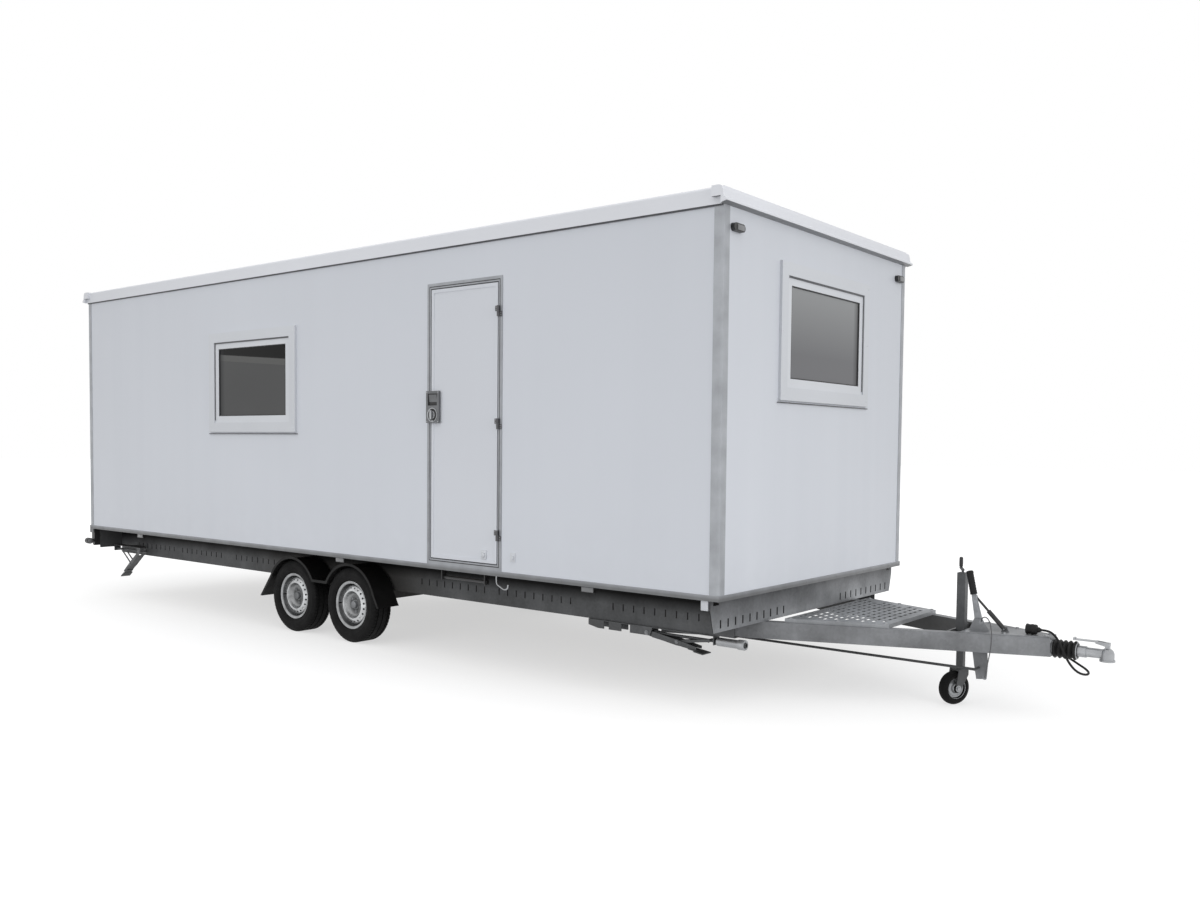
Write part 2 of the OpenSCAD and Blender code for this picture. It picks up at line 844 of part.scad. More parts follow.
// Tandem mudguard: an arch over each wheel, a saddle between them and a straight flap at each end,
// which leaves its arch at an angle
module guard_flap_2d(r, deg) {
    flap_l = 2 * guard_r;
    kick = 8;
    leave = (r - 2 * over) * [cos(deg), sin(deg)];
    polygon([[0, 0], leave, leave + flap_l * [sin(deg + kick), -cos(deg + kick)], [0, -flap_l]]);
}

module guard_2d(r, valley) {
    front_deg = 22;
    rear_deg = 30;
    for (x = axle_xs) translate([x, tyre_r]) circle(r = r, $fn = 96);
    translate([axle_xs[1], tyre_r]) square([axle_gap, valley - tyre_r]);
    translate([axle_xs[0], tyre_r]) guard_flap_2d(r, front_deg);
    translate([axle_xs[1], tyre_r]) mirror([1, 0]) guard_flap_2d(r, rear_deg);
}

module mudguards() {
    rear_tip = tyre_r - 33;
    front_tip = tyre_r + 10;
    below = tyre_r - 3 * guard_r;
    tab = 60;
    lip = 14;
    color("black") both_sides() difference() {
        union() {
            side_plate(guard_y0, guard_y1 - guard_y0) guard_2d(guard_r + guard_t, guard_valley);
            side_plate(guard_y0, guard_t) guard_2d(guard_r + guard_t + lip, guard_valley + lip);
            for (x = axle_xs) box_at(
                [x - tab / 2, guard_y1 - over, tyre_r + guard_r - over],
                [x + tab / 2, rail_y, tyre_r + guard_r + guard_t]
            );
        }
        side_plate(guard_y0 - over, guard_y1 - guard_y0 + 2 * over)
            guard_2d(guard_r, guard_valley - guard_t);
        box_at(
            [axle_xs[1] - 3 * guard_r, guard_y0 - over, below],
            [axle_xs[0] + 3 * guard_r, guard_y1 + over, rear_tip]
        );
        box_at(
            [axle_xs[1], guard_y0 - over, below],
            [axle_xs[0] + 3 * guard_r, guard_y1 + over, front_tip]
        );
    }
}

// Wheels, with their outer face towards +h of the outline
module tyre() {
    half = tyre_w / 2;
    shoulder = half - 20;
    groove_w = 9;
    groove_d = 8;
    groove_gap = tyre_w / 4;
    color("#202020") rotate([90, 0, 0]) rotate_extrude($fn = 96) difference() {
        polygon([
            [rim_r + seat, -rim_half + 5], [flange_r + 2, -rim_half + 5], [flange_r + 8, -half + 10],
            [tyre_r - 54, -half], [tyre_r - 20, -half + 6], [tyre_r - 5, -shoulder - 4],
            [tyre_r, -shoulder], [tyre_r, shoulder], [tyre_r - 5, shoulder + 4],
            [tyre_r - 20, half - 6], [tyre_r - 54, half], [flange_r + 8, half - 10],
            [flange_r + 2, rim_half - 5], [rim_r + seat, rim_half - 5]
        ]);
        for (h = [-groove_gap, 0, groove_gap])
            translate([tyre_r - groove_d, h - groove_w / 2]) square([groove_d + over, groove_w]);
    }
}

// Pressed steel wheel: a slope with a ring of holes up to a crest, and a dished middle round the hub
module rim() {
    t = 5;
    bore = spindle_r + fit;
    well = rim_r - 5;
    slope_low = 20;
    crest = 50;
    dish = 27;
    hub = 36;
    face = [[well + 1, slope_low], [well - 5, slope_low + 3], [well - 32, crest - 4], [well - 39, crest],
        [well - 47, crest], [well - 58, crest - 8], [well - 76, dish + 3], [well - 92, dish],
        [46, dish], [41, hub], [bore, hub]];
    back = [for (i = [len(face) - 1 : -1 : 0]) [face[i][0], face[i][1] - t]];
    hole_count = 18;
    hole_r = 9.5;
    hole_in = 19;
    boss = 14;
    color("silver") rotate([90, 0, 0]) difference() {
        rotate_extrude($fn = 96) {
            polygon(concat(face, back));
            translate([bore, boss]) square([boss, hub - boss]);
            polygon([
                [well, -rim_half], [flange_r, -rim_half], [flange_r, -rim_half + 4],
                [rim_r, -rim_half + 4], [rim_r, rim_half - 4], [flange_r, rim_half - 4],
                [flange_r, rim_half], [well, rim_half]
            ]);
        }
        for (i = [0 : hole_count - 1]) rotate([0, 0, i * 360 / hole_count])
            translate([well - hole_in, 0, 0]) cylinder(r = hole_r, h = rim_half);
    }
}

module at_wheel(axle, far) {
    translate([axle_xs[axle], far ? -hub_y : hub_y, tyre_r]) mirror([0, far, 0]) children();
}

// Corner steadies, drawn with the leg's pivot at the origin and the leg towards +X: cheeks in lugs on
// a top plate that runs behind the pivot, an end plate, and a spindle with a socket for its crank
module steady_bracket(tail, reach, socket_l) {
    cheek_t = 5;
    cheek_y = steady_half + 2;
    cheek_low = 16;
    cheek_front = [26, 44];
    gaps = [[-340, 40], [-200, 70]];
    bevel = tail / 6;
    plate_t = 4;
    spindle_start = 60;
    socket_r = 2 * steady_spindle_r;
    socket_depth = 30;
    for (s = [0, 1]) mirror([0, s, 0]) side_plate(cheek_y, cheek_t) difference() {
        polygon([
            [-tail, steady_top], [-tail, 0], [bevel - tail, -cheek_low],
            [cheek_front[0], -cheek_low], [cheek_front[1], steady_top]
        ]);
        for (gap = gaps) translate([gap[0], -cheek_low - over])
            square([gap[1], steady_top - plate_t + cheek_low]);
    }
    box_at(
        [-tail, -cheek_y - cheek_t, steady_top - plate_t], [spindle_end, cheek_y + cheek_t, steady_top]
    );
    box_at(
        [spindle_end - cheek_t, -steady_half, -cheek_low - plate_t], [spindle_end, steady_half, steady_top]
    );
    difference() {
        rotate([0, 90, 0]) {
            translate([0, 0, spindle_start]) cylinder(r = steady_spindle_r, h = reach - spindle_start);
            translate([0, 0, reach - socket_l]) cylinder(r = socket_r, h = socket_l);
        }
        translate([reach - socket_depth, 0, 0]) rotate([0, 90, 0])
            cylinder(r = steady_spindle_r + 2, h = socket_depth + over);
    }
    pin_y(0, 0, steady_pin_r, -cheek_y - cheek_t, cheek_y + cheek_t);
}

// Channel leg with its foot, turned down by an angle
module steady_leg(deg) {
    t = 4;
    pin_in = 14;
    color("gray") rotate([0, deg, 0]) difference() {
        union() {
            for (s = [0, 1]) mirror([0, s, 0])
                side_plate(steady_half - t, t)
                    polygon([
                        [-16, 14], [40, 16], [brace_l, 13], [leg_l, 5], [leg_l, -12],
                        [brace_l, -22], [40, -18], [-16, -14]
                    ]);
            box_at([40, -steady_half + over, -20], [leg_l, steady_half - over, -20 + t]);
            box_at([leg_l - 10, -steady_half - 14, -26], [leg_l + 60, steady_half + 14, -20]);
            for (s = [0, 1]) mirror([0, s, 0]) pin_y(brace_l, 0, steady_pin_r, pin_in, steady_half);
            box_at([leg_l - 60, -steady_half + over, -24], [leg_l, steady_half - over, -19]);
        }
        pin_y(0, 0, steady_pin_r + fit, -steady_half - over, steady_half + over);
    }
}

// Pair of links from the leg's pin back up to the spindle line
module steady_strut(deg) {
    t = 4;
    y = steady_half - 4 - 6 - t;
    eye = 11;
    color("silver") rotate([0, deg, 0]) translate([brace_l, 0, 0]) rotate([0, -2 * deg, 0]) {
        for (s = [0, 1]) mirror([0, s, 0]) {
            side_plate(y, t) difference() {
                union() {
                    translate([0, -8]) square([brace_l, 16]);
                    circle(r = eye);
                    translate([brace_l, 0]) circle(r = eye);
                }
                circle(r = steady_pin_r + fit);
            }
            pin_y(brace_l, 0, 6, y - 4, y + over);
        }
    }
}

// Places for the four steadies: rear ones point back, front ones forward
module at_steady(front, far) {
    x = front ? xf - front_steady_x : xr + rear_steady_x;
    y = yn + (front ? front_steady_y : rear_steady_y);
    z = front ? front_steady_z : rear_steady_z;
    mirror([0, far, 0]) translate([x, y, z]) mirror([1 - front, 0, 0]) children();
}

module steady_brackets() {
    tie_x0 = 60;
    tie_x1 = 300;
    tie_t = 4;
    front_tail = 468;
    front_socket_l = 200;
    rear_tail = 30;
    rear_socket_l = 36;
    color("dimgray") for (far = [0, 1]) {
        at_steady(1, far)
            steady_bracket(front_tail, spindle_end + front_socket_l + edge_proud, front_socket_l);
        at_steady(0, far)
            steady_bracket(rear_tail, spindle_end + rear_socket_l - edge_proud, rear_socket_l);
        at_steady(0, far)
            box_at([tie_x0, 0, steady_top - tie_t], [tie_x1, rail_in - rear_steady_y, steady_top]);
    }
}

// Jockey wheel
module jockey_post() {
    half = post_w / 2;
    clamp = 12;
    crank_r = 7;
    crank_up = 12;
    crank_deg = 115;
    crank_l = 114;
    crank_t = 8;
    x0 = jockey_x - half - clamp;
    x1 = jockey_x - half;
    crank_z = zf + jockey_top;
    color("silver") {
        difference() {
            box_at(
                [xf + jockey_x - half, -half, jockey_post_z], [xf + jockey_x + half, half, crank_z]
            );
            box_at(
                [xf + jockey_x - half + jockey_wall, jockey_wall - half, jockey_post_z - over],
                [xf + jockey_x + half - jockey_wall, half - jockey_wall, crank_z - jockey_wall]
            );
        }
        translate([xf, 0, bar_z + 10]) linear_extrude(bar_h - 20) polygon([
            [x0, -bar_inner(x0)], [x1, -bar_inner(x1)], [x1, bar_inner(x1)], [x0, bar_inner(x0)]
        ]);
        translate([xf + jockey_x, 0, crank_z - over]) cylinder(r = crank_r, h = crank_up + 2 * over);
        translate([xf + jockey_x, 0, crank_z + crank_up]) rotate([0, 0, crank_deg]) {
            box_at([-crank_r - 2, -crank_r - 2, 0], [crank_l + crank_r + 2, crank_r + 2, crank_t]);
            translate([crank_l, 0, crank_t - over]) cylinder(r = crank_r, h = 60);
        }
    }
}

module jockey_tube() {
    half = jockey_tube_w / 2;
    foot_gap = 0.5;
    foot_t = 30;
    color("silver") difference() {
        box_at(
            [xf + jockey_x - half, -half, swivel_z + foot_gap],
            [xf + jockey_x + half, half, jockey_tube_top]
        );
        box_at(
            [xf + jockey_x - half + jockey_wall, jockey_wall - half, swivel_z + foot_t],
            [xf + jockey_x + half - jockey_wall, half - jockey_wall, jockey_tube_top + over]
        );
        translate([xf + jockey_x, 0, swivel_z]) cylinder(r = stem_r + fit, h = foot_t + over);
    }
}

// The castor's place, with its stem's axis at the origin
module at_castor() {
    translate([xf + jockey_x, 0, 0]) rotate([0, 0, jockey_turn]) children();
}

// Castor fork: a stem, a crown and two trailing cheeks
module jockey_fork() {
    cheek = 5;
    y = jockey_w / 2 + 6;
    crown = [-44, 26];
    crown_t = 6;
    stem_in = 28;
    axle_x = -jockey_trail;
    color("silver") at_castor() {
        translate([0, 0, swivel_z - crown_t]) cylinder(r = 3 * stem_r, h = crown_t);
        translate([0, 0, swivel_z - over]) cylinder(r = stem_r, h = stem_in);
        box_at(
            [crown[0], -y - cheek, swivel_z - 2 * crown_t], [crown[1], y + cheek, swivel_z - crown_t]
        );
        for (s = [0, 1]) mirror([0, s, 0]) side_plate(y, cheek) polygon([
            [crown[1], swivel_z - crown_t], [crown[0], swivel_z - crown_t],
            [axle_x - 16, jockey_r + 10], [axle_x - 8, jockey_r - 16], [axle_x + 14, jockey_r - 16],
            [crown[1], swivel_z - 42]
        ]);
        pin_y(axle_x, jockey_r, jockey_axle_r, -y - cheek, y + cheek);
    }
}

module jockey_wheel() {
    half = jockey_w / 2;
    hub = 26;
    disc = 56;
    dish = 18;
    bore = jockey_axle_r + fit;
    color("#202020") at_castor() translate([-jockey_trail, 0, jockey_r]) rotate([90, 0, 0])
        rotate_extrude() polygon([
            [bore, -half], [hub, -half], [hub + 6, -half + dish], [disc, -half + dish],
            [disc + 4, -half + 4], [jockey_r - 22, -half], [jockey_r - 6, -half + 9],
            [jockey_r, -half + 22], [jockey_r, half - 22], [jockey_r - 6, half - 9],
            [jockey_r - 22, half], [disc + 4, half - 4], [disc, half - dish], [hub + 6, half - dish],
            [hub, half], [bore, half]
        ]);
}

// Overrun housing: a deck over the beams, the shaft's tube, the nose plate and the lever's ears
module overrun_housing() {
    ear_t = 8;
    low_ear_y = strut_y + 13;
    low_z = rod_z - 69;
    web = 12;
    deck_in = 8;
    gland_r = 8.5;
    color("silver") {
        translate([xf, 0, bar_top]) linear_extrude(deck_t) polygon([
            [deck_x0, deck_in - bar_outer(deck_x0)], [bar_front, deck_in - nose_half],
            [bar_front, nose_half - deck_in], [deck_x0, bar_outer(deck_x0) - deck_in]
        ]);
        difference() {
            union() {
                translate([xf + sleeve_x, 0, shaft_z]) rotate([0, 90, 0])
                    cylinder(r = tube_r, h = nose_x - sleeve_x);
                box_at([xf + sleeve_x, -web, shaft_z], [xf + bar_front, web, bar_top + over]);
                box_at([xf + bar_front, -nose_half, bar_z], [xf + nose_x, nose_half, deck_z]);
            }
            translate([xf + sleeve_x - over, 0, shaft_z]) rotate([0, 90, 0])
                cylinder(r = shaft_r + fit, h = nose_x - sleeve_x + 2 * over);
        }
        translate([xf + nose_x - over, lead_end[1], zf + lead_end[2]]) rotate([0, 90, 0])
            cylinder(r = gland_r, h = bar_front + lead_end[0] - nose_x + over);
        side_plate(ear_y, ear_t) translate([xf + lever_x, 0]) polygon([
            [-50, deck_z - over], [-22, lever_z + 16], [24, lever_z + 16], [70, deck_z - over]
        ]);
        side_plate(ear_y, ear_t) translate([xf + lever_x, 0]) polygon([
            [-45, bar_top + over], [-15, rod_z + 10], [-1, low_z],
            [57, low_z + 7], [ear_front, rod_z + 20], [50, bar_top + over]
        ]);
        pin_y(xf + lever_x, lever_z, lever_pin_r, ear_y + over, lever_y + lever_t + 2);
        side_plate(low_ear_y, 6) polygon([
            [xf + strut_low[0] - 24, deck_z - over], [xf + strut_low[0] - 10, strut_low[1] + 12],
            [xf + strut_low[0] + 10, strut_low[1] + 12], [xf + strut_low[0] + 24, deck_z - over]
        ]);
        pin_y(xf + strut_low[0], strut_low[1], strut_pin_r, strut_y - 11, low_ear_y + over);
    }
}

module bellows() {
    folds = 5;
    inner = shaft_r + 2;
    low = 42;
    high = 54;
    pitch = (bellows_l - 2 * seat) / folds;
    color("#202020") translate([xf + nose_x + seat, 0, shaft_z]) rotate([0, 90, 0])
        rotate_extrude() polygon(concat(
            [[inner, 0]],
            [for (i = [0 : folds - 1]) each [[low, i * pitch], [high, (i + 0.5) * pitch]]],
            [[low, folds * pitch], [inner, folds * pitch]]
        ));
}

// Coupling head with its socket, on the overrun shaft
module coupling_head() {
    ball_r = 25;
    ball_drop = 14;
    skirt = 40;
    ear = 12;
    shaft_in = 230;
    collar_l = 46;
    collar_r = neck_r + 5;
    color("silver") difference() {
        union() {
            translate([xf + nose_x - shaft_in, 0, shaft_z]) rotate([0, 90, 0])
                cylinder(r = shaft_r, h = shaft_in + bellows_l + 20);
            translate([xf + head_x0, 0, shaft_z]) rotate([0, 90, 0])
                cylinder(r = neck_r, h = ball_x - xf - head_x0);
            translate([xf + head_x0, 0, shaft_z]) rotate([0, 90, 0])
                cylinder(r = collar_r, h = collar_l);
            translate([ball_x, 0, shaft_z - skirt]) cylinder(r = dome_r, h = skirt);
            translate([ball_x, 0, shaft_z]) sphere(r = dome_r);
            translate([ball_x, 0, shaft_z - skirt]) cylinder(r = dome_r + dome_rim, h = 2 * dome_rim);
            box_at([ball_x - ear, -ear, shaft_z], [ball_x + ear, ear, release_z + ear]);
        }
        translate([ball_x, 0, shaft_z - ball_drop]) sphere(r = ball_r);
        translate([ball_x, 0, shaft_z - skirt - over])
            cylinder(r = ball_r, h = skirt - ball_drop + over);
        pin_y(ball_x, release_z, release_pin_r + fit, -ear - over, ear + over);
    }
}

// Forked release lever over the head
module coupling_lever() {
    x = ball_x;
    z = release_z;
    reach = 178;
    color("silver") {
        for (s = [0, 1]) mirror([0, s, 0]) side_plate(14, 5) polygon([
            [x - 12, z - 9], [x + 12, z - 9], [x + 12, z + 10], [x - 60, z + 16], [x - 60, z + 2]
        ]);
        box_at([x - reach, -19, z + 8], [x - 50, 19, z + 15]);
        box_at([x - reach, -19, z + 8], [x - reach + 10, 19, z + 22]);
        pin_y(x, z, release_pin_r, -19, 19);
    }
}

// Handbrake: a flat lever with a round grip
module handbrake_lever() {
    grip_l = 124;
    grip_r = 17;
    end_r = 22;
    color("silver") translate([xf + lever_x, 0, lever_z]) rotate([0, -lever_lean, 0]) difference() {
        union() {
            side_plate(lever_y, lever_t) {
                circle(r = end_r);
                polygon([[-end_r, 0], [end_r, 0], [12, lever_l - grip_l + 4], [-12, lever_l - grip_l + 4]]);
            }
            translate([0, lever_y + lever_t / 2, lever_l - grip_l]) cylinder(r = grip_r, h = grip_l);
            pin_y(0, strut_r, strut_pin_r, lever_y + over, strut_y + 11);
        }
        pin_y(0, 0, lever_pin_r + fit, lever_y - over, lever_y + lever_t + over);
    }
}

// Half of the gas strut: an eye at the origin and a round bar along +X
module strut_half(bar_r) {
    difference() {
        union() {
            pin_y(0, 0, strut_eye_r, -9, 9);
            rotate([0, 90, 0]) cylinder(r = bar_r, h = strut_part);
        }
        pin_y(0, 0, strut_pin_r + fit, -20, 20);
    }
}

module strut_barrel() {
    color("#202020") translate([xf + strut_low[0], strut_y, strut_low[1]]) rotate([0, -strut_deg, 0])
        difference() {
            strut_half(strut_tube_r);
            translate([14, 0, 0]) rotate([0, 90, 0]) cylinder(r = strut_rod_r + 1, h = strut_part);
        }
}

module strut_rod() {
    color("silver") translate([xf + strut_top[0], strut_y, strut_top[1]]) rotate([0, 180 - strut_deg, 0])
        strut_half(strut_rod_r);
}

// Brake rod from the lever's bracket back to the front axle
module brake_rod() {
    rear_x = axle_xs[0] + arm_x;
    lug = 12;
    color("dimgray") {
        pin_y(xf + rod_x, rod_z, 7, rod_y - 10, ear_y);
        translate([rear_x - lug, rod_y, rod_z]) rotate([0, 90, 0])
            cylinder(r = rod_r, h = xf + rod_x - rear_x + lug);
        box_at(
            [rear_x - lug, rod_y - lug, rod_z - rod_r], [rear_x + lug, rod_y + lug, tube_z - axle_tube / 2]
        );
    }
}

// Parked plug of the lighting lead
module lead_plug() {
    r = zf + lead_start[2] - deck_z - seat;
    collar = 18;
    body_l = 62;
    color("#202020") translate([xf + bar_front + lead_start[0], lead_start[1], zf + lead_start[2]])
        rotate([0, -90, 0]) {
            cylinder(r = r / 2, h = collar);
            translate([0, 0, collar - over]) cylinder(r = r, h = body_l);
        }
}

// Smooth tube along a route: points between the given ones, then a ring at each
function between(p, i, t) =
    let (a = p[max(i - 1, 0)], b = p[i], c = p[i + 1], d = p[min(i + 2, len(p) - 1)])
    b + ((c - a) * t + (2 * a - 5 * b + 4 * c - d) * t * t + (3 * b - a - 3 * c + d) * t * t * t) / 2;
function smooth(p) =
    concat([for (i = [0 : len(p) - 2]) each [p[i], between(p, i, 0.5)]], [p[len(p) - 1]]);
function unit(v) = v / norm(v);
function tangent(p, i) = unit(p[min(i + 1, len(p) - 1)] - p[max(i - 1, 0)]);

module cord(route, start, d, sides) {
    p = smooth([for (q = route) start + q]);
    n = len(p);
    normals = [for (
        i = 0, v = unit(cross(tangent(p, 0), [1, 2, 3]));
        i < n;
        i = i + 1,
        v = i < n ? unit(v - (v * tangent(p, i)) * tangent(p, i)) : v
    ) v];
    points = [for (i = [0 : n - 1]) for (k = [0 : sides - 1])
        let (a = 360 * k / sides, b = cross(tangent(p, i), normals[i]))
        p[i] + d / 2 * (cos(a) * normals[i] + sin(a) * b)];
    walls = [for (i = [0 : n - 2]) for (k = [0 : sides - 1])
        let (m = (k + 1) % sides)
        each [
            [i * sides + k, (i + 1) * sides + k, (i + 1) * sides + m],
            [i * sides + k, (i + 1) * sides + m, i * sides + m]
        ]];
    caps = [[for (k = [0 : sides - 1]) k], [for (k = [sides - 1 : -1 : 0]) (n - 1) * sides + k]];
    polyhedron(points, concat(walls, caps));
}

module tow_lead() {
    color("#202020") cord(lead_route, [xf + bar_front, 0, zf], lead_d, 10);
}

module breakaway_cable() {
    color("gray") cord(cable_route, [xf + lever_x, ear_y, zf], cable_d, 8);
}

floor_panel();
floor_edge();
front_wall();
rear_wall();
far_side_wall();
door_wall_rear();
door_wall_front();
door_header();
corner_posts();
roof();
door_frame();
frame_hinges();
wall_catch();
window_trims();
window_sashes();
window_panes();
marker_lights();
rear_lamps();
door_leaf();
leaf_hinges();
door_fittings();
side_rails();
front_cross_rail();
cross_members();
drawbar_beams();
drawbar_step();
axles();
mudguards();
at_wheel(0, 0) tyre();  // tyre_front_near
at_wheel(0, 1) tyre();  // tyre_front_far
at_wheel(1, 0) tyre();  // tyre_rear_near
at_wheel(1, 1) tyre();  // tyre_rear_far
at_wheel(0, 0) rim();  // rim_front_near
at_wheel(0, 1) rim();  // rim_front_far
at_wheel(1, 0) rim();  // rim_rear_near
at_wheel(1, 1) rim();  // rim_rear_far
steady_brackets();
at_steady(1, 0) steady_leg(front_leg_deg);  // steady_leg_front_near
at_steady(1, 1) steady_leg(front_leg_deg);  // steady_leg_front_far
at_steady(0, 0) steady_leg(rear_leg_deg);  // steady_leg_rear_near
at_steady(0, 1) steady_leg(rear_leg_deg);  // steady_leg_rear_far
at_steady(1, 0) steady_strut(front_leg_deg);  // steady_strut_front_near
at_steady(1, 1) steady_strut(front_leg_deg);  // steady_strut_front_far
at_steady(0, 0) steady_strut(rear_leg_deg);  // steady_strut_rear_near
at_steady(0, 1) steady_strut(rear_leg_deg);  // steady_strut_rear_far
jockey_post();
jockey_tube();
jockey_fork();
jockey_wheel();
overrun_housing();
bellows();
coupling_head();
coupling_lever();
handbrake_lever();
strut_barrel();
strut_rod();
brake_rod();
lead_plug();
tow_lead();
breakaway_cable();
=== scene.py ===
"""Mobile site cabin on a twin-axle trailer: looks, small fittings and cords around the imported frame."""
import json
import math

import bmesh
import bpy
from mathutils import Matrix, Vector


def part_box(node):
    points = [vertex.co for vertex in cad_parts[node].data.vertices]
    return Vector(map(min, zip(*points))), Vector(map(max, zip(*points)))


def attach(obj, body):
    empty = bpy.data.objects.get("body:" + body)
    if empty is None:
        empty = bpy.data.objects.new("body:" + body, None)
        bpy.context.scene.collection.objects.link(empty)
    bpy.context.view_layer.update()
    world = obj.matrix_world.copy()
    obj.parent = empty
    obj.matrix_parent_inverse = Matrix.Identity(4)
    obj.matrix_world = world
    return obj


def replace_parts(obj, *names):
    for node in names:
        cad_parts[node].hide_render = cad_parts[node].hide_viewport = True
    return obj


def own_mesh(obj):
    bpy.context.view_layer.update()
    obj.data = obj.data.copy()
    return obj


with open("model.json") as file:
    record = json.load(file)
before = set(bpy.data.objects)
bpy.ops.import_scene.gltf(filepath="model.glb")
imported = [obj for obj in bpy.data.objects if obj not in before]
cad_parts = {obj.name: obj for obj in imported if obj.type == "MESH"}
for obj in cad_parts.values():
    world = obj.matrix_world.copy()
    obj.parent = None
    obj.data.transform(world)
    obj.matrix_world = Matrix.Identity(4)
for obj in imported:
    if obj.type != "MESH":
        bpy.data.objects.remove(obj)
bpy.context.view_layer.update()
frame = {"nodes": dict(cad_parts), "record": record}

nodes = frame["nodes"]
joints = {joint["name"]: joint for joint in frame["record"]["behaviour"]["joints"]}

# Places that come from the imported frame
FRONT_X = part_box("front_wall")[1][0]
REAR_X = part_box("rear_wall")[0][0]
NEAR_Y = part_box("door_wall_rear")[0][1]
FLOOR_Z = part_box("floor_panel")[0][2]
HUBS = [Vector(joints[f"wheel_{end}_near_spin"]["pos_m"]) for end in ("front", "rear")]
WHEELS_X = (HUBS[0].x + HUBS[1].x) / 2
CABIN_LENGTH = FRONT_X - REAR_X
X, Y, Z = Vector((1, 0, 0)), Vector((0, 1, 0)), Vector((0, 0, 1))

# Sizes shared with the source: slots of the front rail, the side window's middle and the windows' glass
FRONT_SLOTS_Y, FRONT_SLOTS_Z, SLOT_PITCH = 0.765, -0.145, 0.082
SIDE_WINDOW_X, SIDE_WINDOW_Z = -4.546, 1.372
GLASS = (0.955, 0.567)


def from_front(x, y, z):
    """A point given from the front wall, the middle and the floor's underside."""
    return Vector((FRONT_X + x, y, FLOOR_Z + z))


# Camera at the photograph's angle

CAMERA_FROM_CORNER = Vector((3.17088, -5.01509, 0.87491))
CAMERA_RIGHT = Vector((0.782792, 0.622200, 0.010185))
CAMERA_DOWN = Vector((0.035433, -0.028226, -0.998973))
CAMERA_AHEAD = Vector((-0.621274, 0.782349, -0.044141))
IMAGE_WIDTH, IMAGE_HEIGHT = 1200, 900
FOCAL_PX = 1056.473
CENTRE_PX = (606.064, 491.953)
SENSOR = 36.0

camera_data = bpy.data.cameras.new("camera")
camera_data.sensor_fit = "HORIZONTAL"
camera_data.sensor_width = SENSOR
camera_data.lens = FOCAL_PX / IMAGE_WIDTH * SENSOR
camera_data.shift_x = (IMAGE_WIDTH / 2 - CENTRE_PX[0]) / IMAGE_WIDTH
camera_data.shift_y = (CENTRE_PX[1] - IMAGE_HEIGHT / 2) / IMAGE_WIDTH
camera = bpy.data.objects.new("camera", camera_data)
bpy.context.scene.collection.objects.link(camera)
axes = Matrix((CAMERA_RIGHT, -CAMERA_DOWN, -CAMERA_AHEAD)).transposed()
corner = Vector((FRONT_X, NEAR_Y, FLOOR_Z))
camera.matrix_world = Matrix.Translation(corner + CAMERA_FROM_CORNER) @ axes.to_4x4()
bpy.context.scene.camera = camera


# Materials, by name

MATERIALS = {}
# a dark colour for road dirt and for painted shade
DIRT_AND_SHADE_COLOUR = (0.05, 0.048, 0.045)
ROOF_LAP = 1.15  # between the roof's lap joints
RIM_SPAN = 0.2  # the radius that the rims' colour bands reach to
LENS_WAVE = 160.0 * 6.28  # the lenses' flutes, as an angle to the metre


def put(socket, value):
    """Gives a node's input a plain value or another node's output."""
    if isinstance(value, bpy.types.NodeSocket):
        socket.id_data.links.new(value, socket)
    else:
        socket.default_value = value


def fill(node, **values):
    """Gives a node's inputs their values. Each has its input's name, with _ for a space."""
    for name, value in values.items():
        put(node.inputs[name.replace("_", " ")], value)
    return node


def added(near, kind, **values):
    """A new node of a kind, in the tree that an output belongs to."""
    return fill(near.id_data.nodes.new(kind), **values)


def new_material(name):
    """A new material with its shader and an object-space position to paint from."""
    material = MATERIALS[name] = bpy.data.materials.new(name)
    material.use_nodes = True
    shader = material.node_tree.nodes["Principled BSDF"]
    place = material.node_tree.nodes.new("ShaderNodeTexCoord").outputs["Object"]
    return material, shader, place


def noise(place, scale, detail=4.0, stretch=None):
    """A noise field over the surface, finer along the axes that stretch makes longer."""
    if stretch:
        place = added(place, "ShaderNodeMapping", Vector=place, Scale=stretch).outputs["Vector"]
    return added(place, "ShaderNodeTexNoise", Vector=place, Scale=scale, Detail=detail).outputs["Fac"]


def ranged(field, low, high, start=0.3, end=0.7):
    """A field mapped from a band of its values to the range low to high."""
    span = added(
        field, "ShaderNodeMapRange", Value=field, From_Min=start, From_Max=end, To_Min=low, To_Max=high,
    )
    return span.outputs["Result"]


def blend(field, first, second):
    """A colour between two, by a field. Each is a plain colour or another node's output."""
    mix = added(field, "ShaderNodeMix")
    mix.data_type = "RGBA"
    ends = [(*colour, 1) if isinstance(colour, tuple) else colour for colour in (first, second)]
    return fill(mix, Factor=field, A=ends[0], B=ends[1]).outputs["Result"]


def sums(operation, first, second=0):
    """A number worked out from a node's output and a plain number or another output."""
    step = added(first, "ShaderNodeMath")
    step.operation = operation
    put(step.inputs[0], first)
    put(step.inputs[1], second)
    return step.outputs["Value"]


def away(value, middle):
    """How far a number is from a middle one."""
    return sums("ABSOLUTE", sums("SUBTRACT", value, middle))


def along(place):
    """The three coordinates of a position or a direction."""
    split = added(place, "ShaderNodeSeparateXYZ", Vector=place).outputs
    return split["X"], split["Y"], split["Z"]


def facing(place):
    """The three coordinates of the surface's direction."""
    return along(added(place, "ShaderNodeNewGeometry").outputs["Normal"])


def bumped(shader, field, strength, distance):
    """Fine relief from a field."""
    bump = added(field, "ShaderNodeBump", Height=field, Strength=strength, Distance=distance)
    fill(shader, Normal=bump.outputs["Normal"])


def shade(colour, factor):
    """A colour made darker or lighter."""
    return tuple(min(1.0, c * factor) for c in colour)


def mottled(field, colour, low, high):
    """A colour between two shades of itself, by a field."""
    return blend(ranged(field, 0, 1), shade(colour, low), shade(colour, high))


